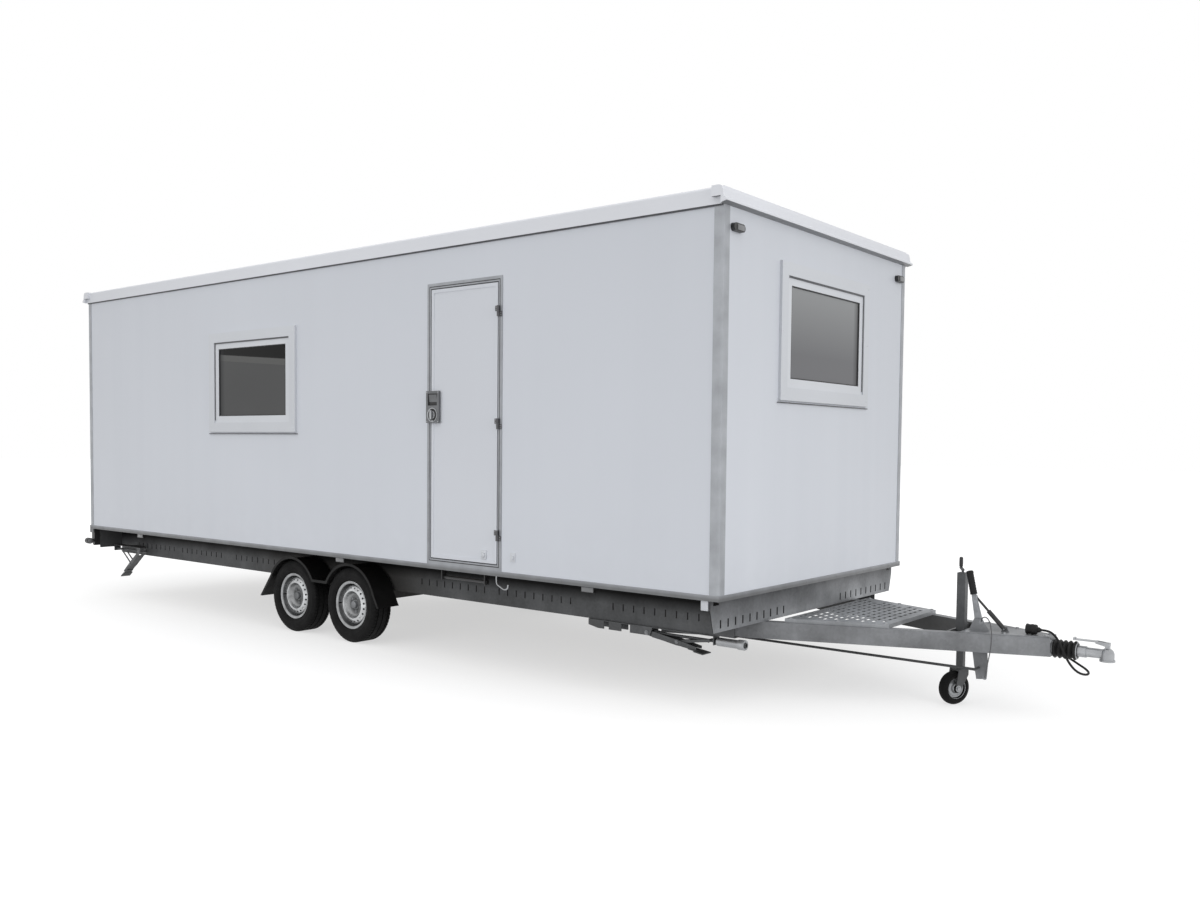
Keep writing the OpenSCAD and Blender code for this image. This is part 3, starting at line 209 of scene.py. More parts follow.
def painted(name, colour, rough, vary, scale, metal=0.0, relief=0.02, grain=60.0):
    """Paint, plastic or rubber: a soft change of tone and of gloss, and a fine relief."""
    material, shader, place = new_material(name)
    tone = mottled(noise(place, scale), colour, 1 - vary, 1 + vary)
    fine = noise(place, grain, 2.0)
    fill(shader, Base_Color=tone, Roughness=ranged(fine, rough - 0.04, rough + 0.04), Metallic=metal)
    bumped(shader, fine, relief, 0.0005)
    return material


def panelled(name, colour, rough, grime):
    """Coated wall panel: broad soft tones, painted light that is paler towards the foot and darker towards the top,
    faint rain streaks, grime low down and a slight orange peel.
    """
    material, shader, place = new_material(name)
    height = along(place)[2]
    broad = noise(place, 0.45, 2.0)
    streaks = noise(place, 1.0, 5.0, (7.0, 7.0, 0.25))
    # painted light: the panel is paler towards its foot and darker towards its top
    top, foot = mottled(broad, colour, 0.93, 0.97), mottled(broad, colour, 1.03, 1.07)
    tone = blend(ranged(height, 0, 1, FLOOR_Z + 0.2, FLOOR_Z + 2.2), foot, top)
    tone = blend(ranged(streaks, 0, 0.025), tone, shade(colour, 0.7))
    low = ranged(height, grime, 0, FLOOR_Z + 0.03, FLOOR_Z + 0.5)
    spots = ranged(noise(place, 9.0, 6.0), 0.2, 1.0)
    tone = blend(sums("MULTIPLY", low, spots), tone, shade(colour, 0.55))
    fill(shader, Base_Color=tone, Roughness=ranged(streaks, rough - 0.05, rough + 0.06))
    bumped(shader, noise(place, 120.0, 2.0), 0.02, 0.0004)
    return material


def sheeted(name, colour):
    """Roof sheet: panel tones with lap joints and dust on top, and painted shade that makes its underside dark."""
    material, shader, place = new_material(name)
    broad = noise(place, 0.6, 3.0)
    tone = mottled(broad, colour, 0.97, 1.03)
    up = facing(place)[2]
    share = sums("FRACT", sums("MULTIPLY", sums("ADD", along(place)[0], 20.0), 1 / ROOF_LAP))
    lap = sums("MULTIPLY", ranged(share, 1, 0, 0.004, 0.010), ranged(up, 0, 1, 0.9, 0.95))
    tone = blend(sums("MULTIPLY", lap, 0.6), tone, shade(colour, 0.35))
    # painted shade: faces turned downwards are much darker
    tone = blend(ranged(up, 0.85, 0, -0.95, -0.5), tone, shade(colour, 0.2))
    dust = sums("MULTIPLY", ranged(noise(place, 3.0, 8.0), 0, 0.12), ranged(up, 0, 1, 0.5, 0.9))
    tone = blend(dust, tone, (0.35, 0.34, 0.32))
    fill(shader, Base_Color=tone, Roughness=ranged(broad, 0.36, 0.46))
    bumped(shader, share, 0.03, 0.002)
    return material


def slot_edge_shade(y, z, amount):
    """Painted shade round the front rail's slots, fading out beyond a slot's edge and beyond each row's ends."""
    row = sums("SUBTRACT", sums("ABSOLUTE", y), FRONT_SLOTS_Y)
    share = sums("FRACT", sums("MULTIPLY", sums("ADD", row, 20 * SLOT_PITCH), 1 / SLOT_PITCH))
    dirt_and_shade = ranged(away(share, 0.5), amount, 0, 0.0062 / SLOT_PITCH, 0.0090 / SLOT_PITCH)
    dirt_and_shade = sums("MULTIPLY", dirt_and_shade, ranged(away(z, FLOOR_Z + FRONT_SLOTS_Z), 1, 0, 0.0235, 0.0265))
    return sums("MULTIPLY", dirt_and_shade, ranged(sums("ABSOLUTE", row), 1, 0, 0.383, 0.390))


def galvanised(
    name, colour, rough=0.5, metal=0.55, grime=0.35, spray_and_shade=0.0, inner=0.0, under=(0.0, -0.1, 0.0),
    slots=None, edged=0.0,
):
    """Zinc with its spangle, dull patches, white bloom and road dirt low down.

    Near the wheels it is darker (spray_and_shade), partly road spray and partly painted shade, and faces turned to the
    middle (inner) are darkened as painted shade.
    A rail with slots is given the axis that their sides face along (slots). Those sides are black as painted shade, and
    so are the edges of the front rail's slots (edged) and the steel close under the cabin (under: amount and two
    heights from the floor).
    """
    material, shader, place = new_material(name)
    spangle = added(place, "ShaderNodeTexVoronoi", Vector=place, Scale=70)
    patches = noise(place, 4.0, 7.0)
    runs = noise(place, 1.0, 4.0, (22.0, 22.0, 2.0))
    cells = ranged(spangle.outputs["Color"], -0.13, 0.13, 0.0, 1.0)
    level = sums("ADD", ranged(patches, 0.15, 0.85), cells)
    tone = blend(level, shade(colour, 0.74), shade(colour, 1.24))
    tone = blend(ranged(runs, 0, 0.18, 0.5, 0.75), tone, shade(colour, 1.6))
    x, y, height = along(place)
    dirt_and_shade = sums("MULTIPLY", ranged(height, grime, 0, 0.2, FLOOR_Z), ranged(patches, 1, 0.2))
    # darker near the wheels: partly road spray, partly painted shade
    dirt_and_shade = sums("MAXIMUM", dirt_and_shade, ranged(away(x, WHEELS_X), spray_and_shade, 0, 0.75, 1.25))
    turned = facing(place)
    # painted shade: faces turned towards the middle are darkened
    dirt_and_shade = sums("MAXIMUM", dirt_and_shade, ranged(sums("MULTIPLY", y, turned[1]), inner, 0, -0.05, -0.02))
    tone = blend(dirt_and_shade, tone, DIRT_AND_SHADE_COLOUR)
    # painted shade: the slots' sides, the rims round the front rail's slots and the steel close under the cabin go near
    # black, with little gloss
    if slots is not None:
        black = ranged(sums("ABSOLUTE", turned[slots]), 0, 0.9, 0.6, 0.9)
        black = sums("MAXIMUM", black, slot_edge_shade(y, height, edged))
        amount, low, high = under
        black = sums("MAXIMUM", black, ranged(height, 0, amount, FLOOR_Z + low, FLOOR_Z + high))
        tone = blend(black, tone, (0.008, 0.008, 0.008))
        fill(shader, Specular_IOR_Level=ranged(black, 0.5, 0.05, 0, 1))
    fill(shader, Base_Color=tone, Roughness=ranged(level, rough + 0.12, rough - 0.1, 0, 1), Metallic=metal)
    bumped(shader, patches, 0.06, 0.001)
    return material


def rubbery(name, colour, rough, dust):
    """Rubber with a fine grain and pale dust that gathers low down."""
    material, shader, place = new_material(name)
    fine, broad = noise(place, 260.0, 3.0), noise(place, 14.0, 6.0)
    amount = sums("MULTIPLY", ranged(along(place)[2], dust, 0, 0.0, 0.45), ranged(broad, 0.1, 1.0))
    tone = blend(amount, mottled(fine, colour, 0.7, 1.35), (0.16, 0.15, 0.135))
    fill(shader, Base_Color=tone, Roughness=ranged(broad, rough - 0.08, rough + 0.08), Specular_IOR_Level=0.2)
    bumped(shader, fine, 0.12, 0.0005)
    return material


def brushed(name, colour, rough, metal, scratch=(4.0, 60.0, 60.0), darker_foot=0.0):
    """Bright metal with fine marks, slight dullness and, by choice, a darker band along the foot of the walls."""
    material, shader, place = new_material(name)
    marks = noise(place, 6.0, 5.0, scratch)
    tone = mottled(noise(place, 9.0, 4.0), colour, 0.86, 1.1)
    # darker towards the foot
    foot = ranged(along(place)[2], darker_foot, 0, FLOOR_Z + 0.012, FLOOR_Z + 0.030)
    tone = blend(foot, tone, DIRT_AND_SHADE_COLOUR)
    fill(shader, Base_Color=tone, Roughness=ranged(marks, rough - 0.06, rough + 0.1), Metallic=metal)
    bumped(shader, marks, 0.03, 0.0004)
    return material


def jointed(material, centre, clear):
    """Adds a frame's joint to its metal: a dark line a little outside the clear opening."""
    base = material.node_tree.nodes["Principled BSDF"].inputs["Base Color"]
    tone = base.links[0].from_socket
    x, _, z = along(added(tone, "ShaderNodeTexCoord").outputs["Object"])
    beyond = [
        sums("SUBTRACT", away(value, middle), size / 2)
        for value, middle, size in ((x, centre.x, clear[0]), (z, centre.z, clear[1]))
    ]
    line = ranged(away(sums("MAXIMUM", *beyond), 0.0125), 1, 0, 0.0028, 0.0036)
    put(base, blend(line, tone, (0.035, 0.035, 0.037)))


def pressed(name):
    """Silver wheel steel with painted light: painted highlights on its lip and ring, painted shade in its dish and in
    the groove behind the lip, and random dark patches.
    """
    material, shader, place = new_material(name)
    x, _, z = along(place)
    lift = sums("POWER", sums("SUBTRACT", z, HUBS[0].z), 2)
    reaches = [sums("SQRT", sums("ADD", sums("POWER", sums("SUBTRACT", x, hub.x), 2), lift)) for hub in HUBS]
    bands = added(place, "ShaderNodeValToRGB")
    # painted light by radius: the dish and the groove behind the lip are painted shade, the ring's crest and the lip
    # are painted highlights
    stops = (
        (0.040, 0.13), (0.072, 0.16), (0.084, 0.30), (0.104, 0.42), (0.110, 0.62), (0.145, 0.55), (0.152, 0.16),
        (0.162, 0.14), (0.168, 0.36), (0.185, 0.40),
    )
    ramp = bands.color_ramp.elements
    for _ in stops[2:]:
        ramp.new(0.5)
    for stop, (reach, tone) in zip(ramp, stops):
        stop.position = reach / RIM_SPAN
        stop.color = (tone, tone * 1.02, tone * 1.04, 1)
    fill(bands, Fac=sums("MULTIPLY", sums("MINIMUM", *reaches), 1 / RIM_SPAN))
    broad = noise(place, 16.0, 6.0)
    tone = blend(ranged(broad, 0, 0.45, 0.45, 0.75), bands.outputs["Color"], (0.07, 0.068, 0.066))
    fill(shader, Base_Color=tone, Roughness=ranged(broad, 0.2, 0.36), Metallic=0.85)
    bumped(shader, broad, 0.03, 0.0006)
    return material


def glazed(name):
    """Double glazing with painted light: a dim room behind it as painted shade, paler in the front window with a
    painted reflection brightening towards the top, a painted dark reflected band at the top of the side one, and
    painted reveal shadows at the side window's left edge and the front window's right edge.
    """
    material, shader, place = new_material(name)
    x, y, z = along(place)
    uneven = noise(place, 1.3, 1.0)
    # painted reflection: the front pane grows paler towards its top
    upper = ranged(z, 0, 1, FLOOR_Z + 1.45, FLOOR_Z + 1.85)
    front = blend(upper, (0.160, 0.162, 0.170), (0.275, 0.283, 0.288))
    # painted shadow of the reveal along the front pane's right edge
    front = blend(ranged(y, 0, 0.75, 0.40, 0.475), front, (0.02, 0.02, 0.021))
    # painted shade: a dim, uneven room behind the side pane
    room = blend(ranged(uneven, 0, 1), (0.078, 0.079, 0.080), (0.090, 0.091, 0.092))
    # painted reflection: a dark band across the side pane's top, its lower edge sloping, with a paler band just under
    # it
    left = FRONT_X + SIDE_WINDOW_X - GLASS[0] / 2
    top = FLOOR_Z + SIDE_WINDOW_Z + GLASS[1] / 2
    edge = sums("MULTIPLY", sums("SUBTRACT", x, left), -0.078)
    above = sums("SUBTRACT", z, sums("ADD", edge, top - 0.046))
    room = blend(ranged(above, 0, 1, -0.052, -0.048), room, (0.104, 0.105, 0.103))
    side = blend(ranged(above, 0, 1, -0.003, 0.003), room, (0.004, 0.004, 0.004))
    # painted shadow of the reveal along the side pane's left edge
    side = blend(ranged(x, 0.7, 0, left + 0.01, left + 0.08), side, (0.02, 0.021, 0.023))
    tone = blend(ranged(x, 0, 1, FRONT_X - 0.5, FRONT_X - 0.4), side, front)
    fill(shader, Base_Color=tone, Roughness=0.06, IOR=1.45, Specular_IOR_Level=0.12)
    bumped(shader, uneven, 0.01, 0.01)
    return material


def lensed(name, colour):
    """Lamp lens with fine vertical flutes."""
    material, shader, place = new_material(name)
    x, y, _ = along(place)
    wave = sums("SINE", sums("MULTIPLY", sums("ADD", x, y), LENS_WAVE))
    tone = blend(ranged(wave, 0, 1, -1, 1), shade(colour, 0.75), shade(colour, 1.15))
    fill(shader, Base_Color=tone, Roughness=0.12)
    bumped(shader, wave, 0.2, 0.001)
    return material


panelled("wall_panel", (0.60, 0.625, 0.675), 0.38, grime=0.06)
panelled("door_panel", (0.60, 0.622, 0.668), 0.38, grime=0.03)
sheeted("roof_sheet", (0.66, 0.675, 0.715))
painted("floor_board", (0.20, 0.15, 0.10), 0.6, vary=0.2, scale=3.0)
brushed("edge_strip", (0.27, 0.28, 0.295), 0.42, metal=0.35, darker_foot=0.5)
brushed("corner_profile", (0.36, 0.375, 0.40), 0.42, metal=0.3)
brushed("frame_profile", (0.320, 0.333, 0.356), 0.42, metal=0.3)
painted("hinge_black", (0.075, 0.075, 0.08), 0.45, vary=0.15, scale=20.0)
painted("white_plastic", (0.60, 0.62, 0.655), 0.36, vary=0.02, scale=2.0)
brushed("lock_metal", (0.15, 0.154, 0.162), 0.38, metal=0.6, scratch=(30.0, 30.0, 4.0))
glazed("glazing")
painted("lamp_plastic", (0.015, 0.015, 0.016), 0.35, vary=0.2, scale=20.0)
galvanised("galvanised", (0.30, 0.31, 0.325))
# chassis steel: darker than the galvanised finish, partly as painted shade under the cabin
galvanised("chassis_steel", (0.074, 0.077, 0.080), 0.62, 0.3, spray_and_shade=0.75)
rubbery("guard_plastic", (0.006, 0.006, 0.0062), 0.55, dust=0.02)
rubbery("tyre_rubber", (0.0038, 0.0038, 0.0040), 0.75, dust=0.012)
pressed("rim_silver")
RUBBER = rubbery("bellows_rubber", (0.012, 0.012, 0.0125), 0.5, dust=0.03)
BLACK = painted("strut_black", (0.02, 0.02, 0.021), 0.35, vary=0.2, scale=30.0)
painted("cable_sheath", (0.10, 0.10, 0.105), 0.4, vary=0.2, scale=90.0, metal=0.3)
SEAL_AND_SHADE = painted("seal_rubber", (0.018, 0.018, 0.019), 0.6, vary=0.2, scale=30.0, relief=0.1, grain=300.0)
GASKET_AND_SHADE = painted("gasket_grey", (0.085, 0.087, 0.094), 0.5, vary=0.1, scale=20.0)
ZINC = brushed("bright_zinc", (0.40, 0.41, 0.425), 0.36, metal=0.8, scratch=(30.0, 30.0, 30.0))
DULL_ZINC = galvanised("dull_zinc", (0.225, 0.232, 0.243), 0.52, 0.5)
# the beams' faces turned to the middle carry painted shade
BEAM_ZINC = galvanised("beam_zinc", (0.225, 0.232, 0.243), 0.52, 0.5, inner=0.75)
# side rails: darker than the galvanised finish, partly as painted shade under the cabin, with painted shade on the
# slots' sides and close under the cabin
SIDE_ZINC = galvanised(
    "side_zinc", (0.082, 0.085, 0.089), 0.62, 0.3, grime=0.2, spray_and_shade=0.75, under=(0.95, -0.145, -0.065), slots=0,
)
# front rail: painted shade on the slots' sides, round the slots and close under the cabin
RAIL_ZINC = galvanised("rail_zinc", (0.285, 0.295, 0.31), under=(0.6, -0.17, -0.02), slots=1, edged=0.85)
DARK_ZINC = galvanised("dark_zinc", (0.090, 0.093, 0.097), 0.5, 0.5)
TRIM = painted("window_trim", (0.565, 0.585, 0.62), 0.4, vary=0.02, scale=2.0)
CLEAR_LENS = lensed("clear_lens", (0.18, 0.183, 0.19))
RED_LENS = lensed("red_lens", (0.28, 0.012, 0.010))
AMBER_LENS = lensed("amber_lens", (0.55, 0.16, 0.01))

# Nodes whose finish isn't their slot's own
FINISHES = {
    "coupling_head": ZINC, "coupling_lever": ZINC, "strut_rod": BLACK, "window_trims": TRIM,
    "side_rails": SIDE_ZINC, "front_cross_rail": RAIL_ZINC, "drawbar_beams": BEAM_ZINC,
    "overrun_housing": DULL_ZINC, "jockey_post": DARK_ZINC, "jockey_tube": DARK_ZINC, "jockey_fork": DARK_ZINC,
}
for part in frame["record"]["subparts"]:
    name = part["node"]
    finish = FINISHES.get(name, DARK_ZINC if name.startswith("steady_") else MATERIALS[part["material_slot"]])
    mesh = nodes[name].data
    mesh.materials.clear()
    mesh.materials.append(finish)


# Cords, which repeat the source's routes in metres from the front wall, the middle and the floor

def smooth(points):
    """The points with one more between each two, on the same smooth curve as the source."""
    out = []
    last = len(points) - 1
    for i in range(last):
        a, b = points[max(i - 1, 0)], points[i]
        c, d = points[i + 1], points[min(i + 2, last)]
        out.append(b)
        out.append((9 * (b + c) - a - d) / 16)
    return out + [points[last]]


def cord(name, slot, route, diameter, **facts):
    """A round cord along a route."""
    points = smooth([from_front(*spot) for spot in route])
    curve = bpy.data.curves.new(name, "CURVE")
    curve.dimensions = "3D"
    curve.bevel_depth = diameter / 2
    curve.bevel_resolution = 4
    curve.use_fill_caps = True
    spline = curve.splines.new("POLY")
    spline.points.add(len(points) - 1)
    for spot, point in zip(spline.points, points):
        spot.co = (*point, 1)
    made = bpy.data.objects.new(name, curve)
    bpy.context.scene.collection.objects.link(made)
    curve.materials.append(MATERIALS[slot])
    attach(made, "cabin")
    return made


LEAD_ROUTE = [
    (1.467, 0.052, -0.287), (1.494, 0.054, -0.292), (1.520, 0.055, -0.304), (1.552, 0.055, -0.320),
    (1.586, 0.052, -0.338), (1.620, 0.042, -0.354), (1.643, 0.022, -0.366), (1.650, -0.004, -0.373),
    (1.642, -0.030, -0.374), (1.620, -0.052, -0.367), (1.594, -0.066, -0.348), (1.570, -0.074, -0.318),
    (1.548, -0.076, -0.282), (1.528, -0.072, -0.244), (1.508, -0.064, -0.208), (1.486, -0.054, -0.179),
    (1.458, -0.044, -0.159), (1.428, -0.038, -0.152), (1.398, -0.036, -0.152),
]
CABLE_START = (1.065, -0.111679, 0)
CABLE_ROUTE = [
    (0.020, 0, -0.132), (0.025, -0.012, -0.117), (0.037, -0.026, -0.102), (0.055, -0.043, -0.094),
    (0.076, -0.061, -0.097), (0.094, -0.078, -0.113), (0.106, -0.091, -0.140), (0.113, -0.099, -0.174),
    (0.115, -0.103, -0.212), (0.112, -0.102, -0.252), (0.105, -0.096, -0.292), (0.095, -0.085, -0.332),
    (0.083, -0.069, -0.372), (0.070, -0.048, -0.408), (0.057, -0.024, -0.437), (0.047, 0, -0.455),
]
LEAD_D = 0.013
CABLE_D = 0.006
cable_points = [tuple(a + b for a, b in zip(CABLE_START, spot)) for spot in CABLE_ROUTE]


# Shapes

SINK = 0.0005  # how far a fitting reaches into what carries it


def across(axis):
    """Two directions square to an axis and to each other."""
    side = axis.cross(Z if abs(axis.z) < 0.9 else X).normalized()
    return side, axis.cross(side)


def circle(bm, centre, side, up, sizes):
    """A ring of points round a centre, each at its own distance."""
    turns = [2 * math.pi * i / len(sizes) for i in range(len(sizes))]
    return [
        bm.verts.new(centre + size * (math.cos(turn) * side + math.sin(turn) * up))
        for turn, size in zip(turns, sizes)
    ]


def skin(bm, first, second):
    """Faces between two rings, either of which may be a single point."""
    count = max(len(first), len(second))
    for i in range(count):
        j = (i + 1) % count
        if len(first) == 1:
            bm.faces.new((first[0], second[j], second[i]))
        elif len(second) == 1:
            bm.faces.new((first[i], first[j], second[0]))
        else:
            bm.faces.new((first[i], first[j], second[j], second[i]))


def lathe(bm, profile, centre, axis, segments, loop=False, wave=None):
    """A turned shape from (radius, height) pairs. wave(radius, height, i) is a depth to cut at each turn."""
    axis = Vector(axis).normalized()
    rings = []
    for radius, height in profile:
        spot = Vector(centre) + axis * height
        if radius < 1e-6:
            rings.append([bm.verts.new(spot)])
            continue
        sizes = [radius - (wave(radius, height, i) if wave else 0) for i in range(segments)]
        rings.append(circle(bm, spot, *across(axis), sizes))
    for first, second in zip(rings, rings[1:] + rings[:1] if loop else rings[1:]):
        skin(bm, first, second)


def sweep(bm, points, radii, segments):
    """A round bar of changing radius along points."""
    rings = []
    side = None
    for i, point in enumerate(points):
        ahead = (points[min(i + 1, len(points) - 1)] - points[max(i - 1, 0)]).normalized()
        side = across(ahead)[0] if side is None else (side - ahead * side.dot(ahead)).normalized()
        rings.append(circle(bm, point, side, ahead.cross(side), [radii[i]] * segments))
    for first, second in zip(rings, rings[1:]):
        skin(bm, first, second)
    bm.faces.new(rings[0])
    bm.faces.new(rings[-1])


def block(bm, low, high, bevel, place=None):
    """A block with rounded edges, in its own place if one is given."""
    low, high = Vector(low), Vector(high)
    matrix = Matrix.Translation((low + high) / 2) @ Matrix.Diagonal((*(high - low), 1))
    made = bmesh.ops.create_cube(bm, size=1, matrix=place @ matrix if place else matrix)
    edges = list({edge for vert in made["verts"] for edge in vert.link_edges})
    bmesh.ops.bevel(bm, geom=edges, offset=bevel, segments=3, profile=0.5, affect="EDGES")


def block_about(bm, centre, low, high, bevel):
    """A block with its corners given from a centre."""
    block(bm, centre + Vector(low), centre + Vector(high), bevel)


def frame_ring(bm, centre, right, up, size, width, depth):
    """A rectangular ring of a width, from a plane outwards by a depth."""
    out = right.cross(up)
    loops = []
    for inset, height in ((0, 0), (0, depth), (width, depth), (width, 0)):
        half_w, half_h = size[0] / 2 - inset, size[1] / 2 - inset
        loops.append([
            bm.verts.new(centre + right * half_w * a + up * half_h * b + out * height)
            for a, b in ((-1, -1), (1, -1), (1, 1), (-1, 1))
        ])
    for first, second in zip(loops, loops[1:] + loops[:1]):
        skin(bm, first, second)


def bolt(bm, at, axis, radius):
    """A hexagon head on a washer."""
    lathe(bm, [
        (0, 0.0018), (1.55 * radius, 0.0018), (1.6 * radius, 0.0012), (1.6 * radius, -SINK), (0, -SINK),
    ], at, axis, 24)
    top = 0.7 * radius
    lathe(bm, [(0, top), (0.8 * radius, top), (radius, 0.82 * top), (radius, -SINK), (0, -SINK)], at, axis, 6)


def dome(bm, at, axis, radius, height):
    """A round head."""
    lathe(bm, [
        (0, height), (0.45 * radius, 0.9 * height), (0.8 * radius, 0.6 * height), (radius, 0.15 * height),
        (radius, -SINK), (0, -SINK),
    ], at, axis, 16)


def piece(name, bm, slot, body, finish=None, angle=35):
    """A finished piece: outward normals, smooth faces with sharp folds, a material and the body it rides."""
    bmesh.ops.recalc_face_normals(bm, faces=bm.faces)
    mesh = bpy.data.meshes.new(name)
    bm.to_mesh(mesh)
    bm.free()
    mesh.shade_smooth()
    mesh.set_sharp_from_angle(angle=math.radians(angle))
    mesh.materials.append(finish or MATERIALS[slot])
    made = bpy.data.objects.new(name, mesh)
    bpy.context.scene.collection.objects.link(made)
    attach(made, body)
    return made


# The lead's plug, its boot at the drawbar's nose, and the two cords

PLUG_AT = from_front(*LEAD_ROUTE[-1])
PLUG_OUTLINE = [
    (0, -0.004), (0.0075, -0.004), (0.0092, -0.003), (0.0100, 0.002), (0.0125, 0.005), (0.0149, 0.008), (0.0149, 0.016),
    (0.0220, 0.019), (0.0270, 0.022), (0.0285, 0.026), (0.0285, 0.040), (0.0290, 0.0415), (0.0298, 0.042),
    (0.0298, 0.051), (0.0290, 0.0525), (0.0275, 0.053), (0.0275, 0.068), (0.0290, 0.0695), (0.0298, 0.071),
    (0.0298, 0.078), (0.0285, 0.079), (0.0262, 0.079), (0.0258, 0.078), (0.0258, 0.060), (0, 0.060),
]
bm = bmesh.new()
lathe(
    bm, PLUG_OUTLINE, PLUG_AT, -X, 72,
    wave=lambda r, h, i: 0.0012 if 0.0255 < h < 0.0405 and i % 4 > 1 else 0,
)
plug = piece("lead_plug_body", bm, "bellows_rubber", "cabin")
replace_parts(plug, "lead_plug")
PIN_CIRCLE = 0.014
bm = bmesh.new()
for i in range(7):
    turn = 2 * math.pi * i / 6
    spread = PIN_CIRCLE if i < 6 else 0
    spot = PLUG_AT + Vector((0, spread * math.cos(turn), spread * math.sin(turn)))
    lathe(bm, [(0.0026, 0.0595), (0.0026, 0.073), (0.0018, 0.075), (0, 0.0752)], spot, -X, 12)
pins = piece("lead_plug_pins", bm, "galvanised", "cabin", ZINC)

lead = cord(
    "lighting_lead", "bellows_rubber", LEAD_ROUTE, LEAD_D,
    far_end="plug", stiffness="medium", lay="hanging", with_pieces=[plug, pins],
)
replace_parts(lead, "tow_lead")
cable = cord(
    "safety_cable", "cable_sheath", cable_points, CABLE_D, far_end="object", stiffness="medium", lay="hanging",
)
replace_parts(cable, "breakaway_cable")

boot_points = smooth(smooth([from_front(*spot) for spot in LEAD_ROUTE[:4]]))[:8]
boot_sizes = [0.0108 - 0.0005 * i - (0.0008 if i % 2 else 0) for i in range(len(boot_points))]
bm = bmesh.new()
sweep(bm, boot_points, boot_sizes, 24)
piece("lead_boot", bm, "bellows_rubber", "cabin", angle=60)

bm = bmesh.new()
for spot in (cable_points[0], cable_points[-1]):
    bolt(bm, from_front(*spot) + Vector((0, 0.001, 0)), -Y, 0.008)
piece("cable_eyes", bm, "galvanised", "cabin")


# Wheels

TYRE_HALF_OUTLINE = [
    (0.1652, 0.0695), (0.1835, 0.0695), (0.1860, 0.0760), (0.1900, 0.0825), (0.1935, 0.0850), (0.1965, 0.0866),
    (0.1990, 0.0852), (0.2050, 0.0878), (0.2120, 0.0897), (0.2190, 0.0910), (0.2215, 0.0922), (0.2245, 0.0922),
    (0.2265, 0.0912), (0.2340, 0.0918), (0.2420, 0.0914), (0.2500, 0.0905), (0.2530, 0.0912), (0.2550, 0.0902),
    (0.2610, 0.0883), (0.2680, 0.0855), (0.2740, 0.0826), (0.2790, 0.0798), (0.2832, 0.0763), (0.2862, 0.0732),
    (0.2878, 0.0690), (0.2880, 0.0600), (0.2880, 0.0508), (0.2804, 0.0498), (0.2804, 0.0427), (0.2880, 0.0417),
    (0.2880, 0.0230), (0.2880, 0.0046), (0.2804, 0.0038),
]
TYRE_OUTLINE = TYRE_HALF_OUTLINE + [(r, -h) for r, h in reversed(TYRE_HALF_OUTLINE)]
TREAD_TURNS, SHOULDER_CUT, RIB_CUT = 300, 0.0045, 0.0028


def tread(radius, height, i):
    """Cross grooves in the shoulders and finer cuts in the middle ribs of the tread."""
    if radius > 0.2725 and abs(height) > 0.0502:
        return SHOULDER_CUT if i % 5 == (0 if height > 0 else 2) else 0
    if radius > 0.287 and i % 5 == (1 if abs(height) > 0.02 else 3):
        return RIB_CUT
    return 0


def holed_ring(bm, hub, out, inner, outer, holes, hole_radius, thickness, steps):
    """A conical ring between two (radius, height) edges, with a row of round holes through it."""
    right, up = across(out)
    slope, middle, pitch = math.dist(inner, outer), (inner[0] + outer[0]) / 2, 2 * math.pi / holes

    def spot(turn, share, depth):
        radius = inner[0] + (outer[0] - inner[0]) * share
        height = inner[1] + (outer[1] - inner[1]) * share - depth
        return bm.verts.new(hub + radius * (math.cos(turn) * right + math.sin(turn) * up) + height * out)

    edge = [(i / steps - 0.5, 0) for i in range(steps)] + [(0.5, i / 4) for i in range(4)]
    edge += [(0.5 - i / steps, 1) for i in range(steps)] + [(-0.5, 1 - i / 4) for i in range(4)]
    aims = [math.atan2((share - 0.5) * slope, a * pitch * middle) for a, share in edge]
    for k in range(holes):
        turn = pitch * (k + 0.5)
        border, hole = [], []
        for depth in (0, thickness):
            border.append([spot(turn + pitch * a, share, depth) for a, share in edge])
            hole.append([
                spot(turn + hole_radius * math.cos(aim) / middle, 0.5 + hole_radius * math.sin(aim) / slope, depth)
                for aim in aims
            ])
            skin(bm, border[-1], hole[-1])
        skin(bm, hole[0], hole[1])


RIM_HOLES, HOLE_R, HOLE_STEPS, RIM_STEEL = 20, 0.0080, 8, 0.003
RIM_TURNS = RIM_HOLES * HOLE_STEPS
RIM_BARREL = [
    (0.1846, 0.0752), (0.1836, 0.0728), (0.1790, 0.0708), (0.1690, 0.0699), (0.1651, 0.0690), (0.1645, 0.0460),
    (0.1590, 0.0400), (0.1530, 0.0340), (0.1515, 0.0250), (0.1515, -0.0050), (0.1535, -0.0150), (0.1600, -0.0250),
    (0.1645, -0.0310), (0.1651, -0.0690), (0.1690, -0.0699), (0.1810, -0.0706), (0.1836, -0.0728),
    (0.1846, -0.0752), (0.1830, -0.0764), (0.1808, -0.0755), (0.1795, -0.0738), (0.1670, -0.0728),
    (0.1622, -0.0700), (0.1617, -0.0320), (0.1580, -0.0265), (0.1510, -0.0175), (0.1488, -0.0050),
    (0.1488, 0.0255), (0.1500, 0.0350), (0.1565, 0.0420), (0.1605, 0.0480), (0.1610, 0.0600), (0.1632, 0.0690),
    (0.1690, 0.0725), (0.1770, 0.0738), (0.1805, 0.0752), (0.1828, 0.0765),
]
DISC_FOOT = [(0.1505, 0.0350), (0.1500, 0.0400), (0.1470, 0.0460), (0.1420, 0.0510)]
DISC_DISH = [
    (0.1180, 0.0645), (0.1140, 0.0664), (0.1105, 0.0675), (0.1070, 0.0672), (0.1040, 0.0652), (0.1010, 0.0605),
    (0.0965, 0.0510), (0.0915, 0.0410), (0.0855, 0.0335), (0.0785, 0.0287), (0.0710, 0.0270), (0.0465, 0.0270),
    (0.0425, 0.0295), (0.0398, 0.0348), (0.0375, 0.0360), (0.0300, 0.0360),
]
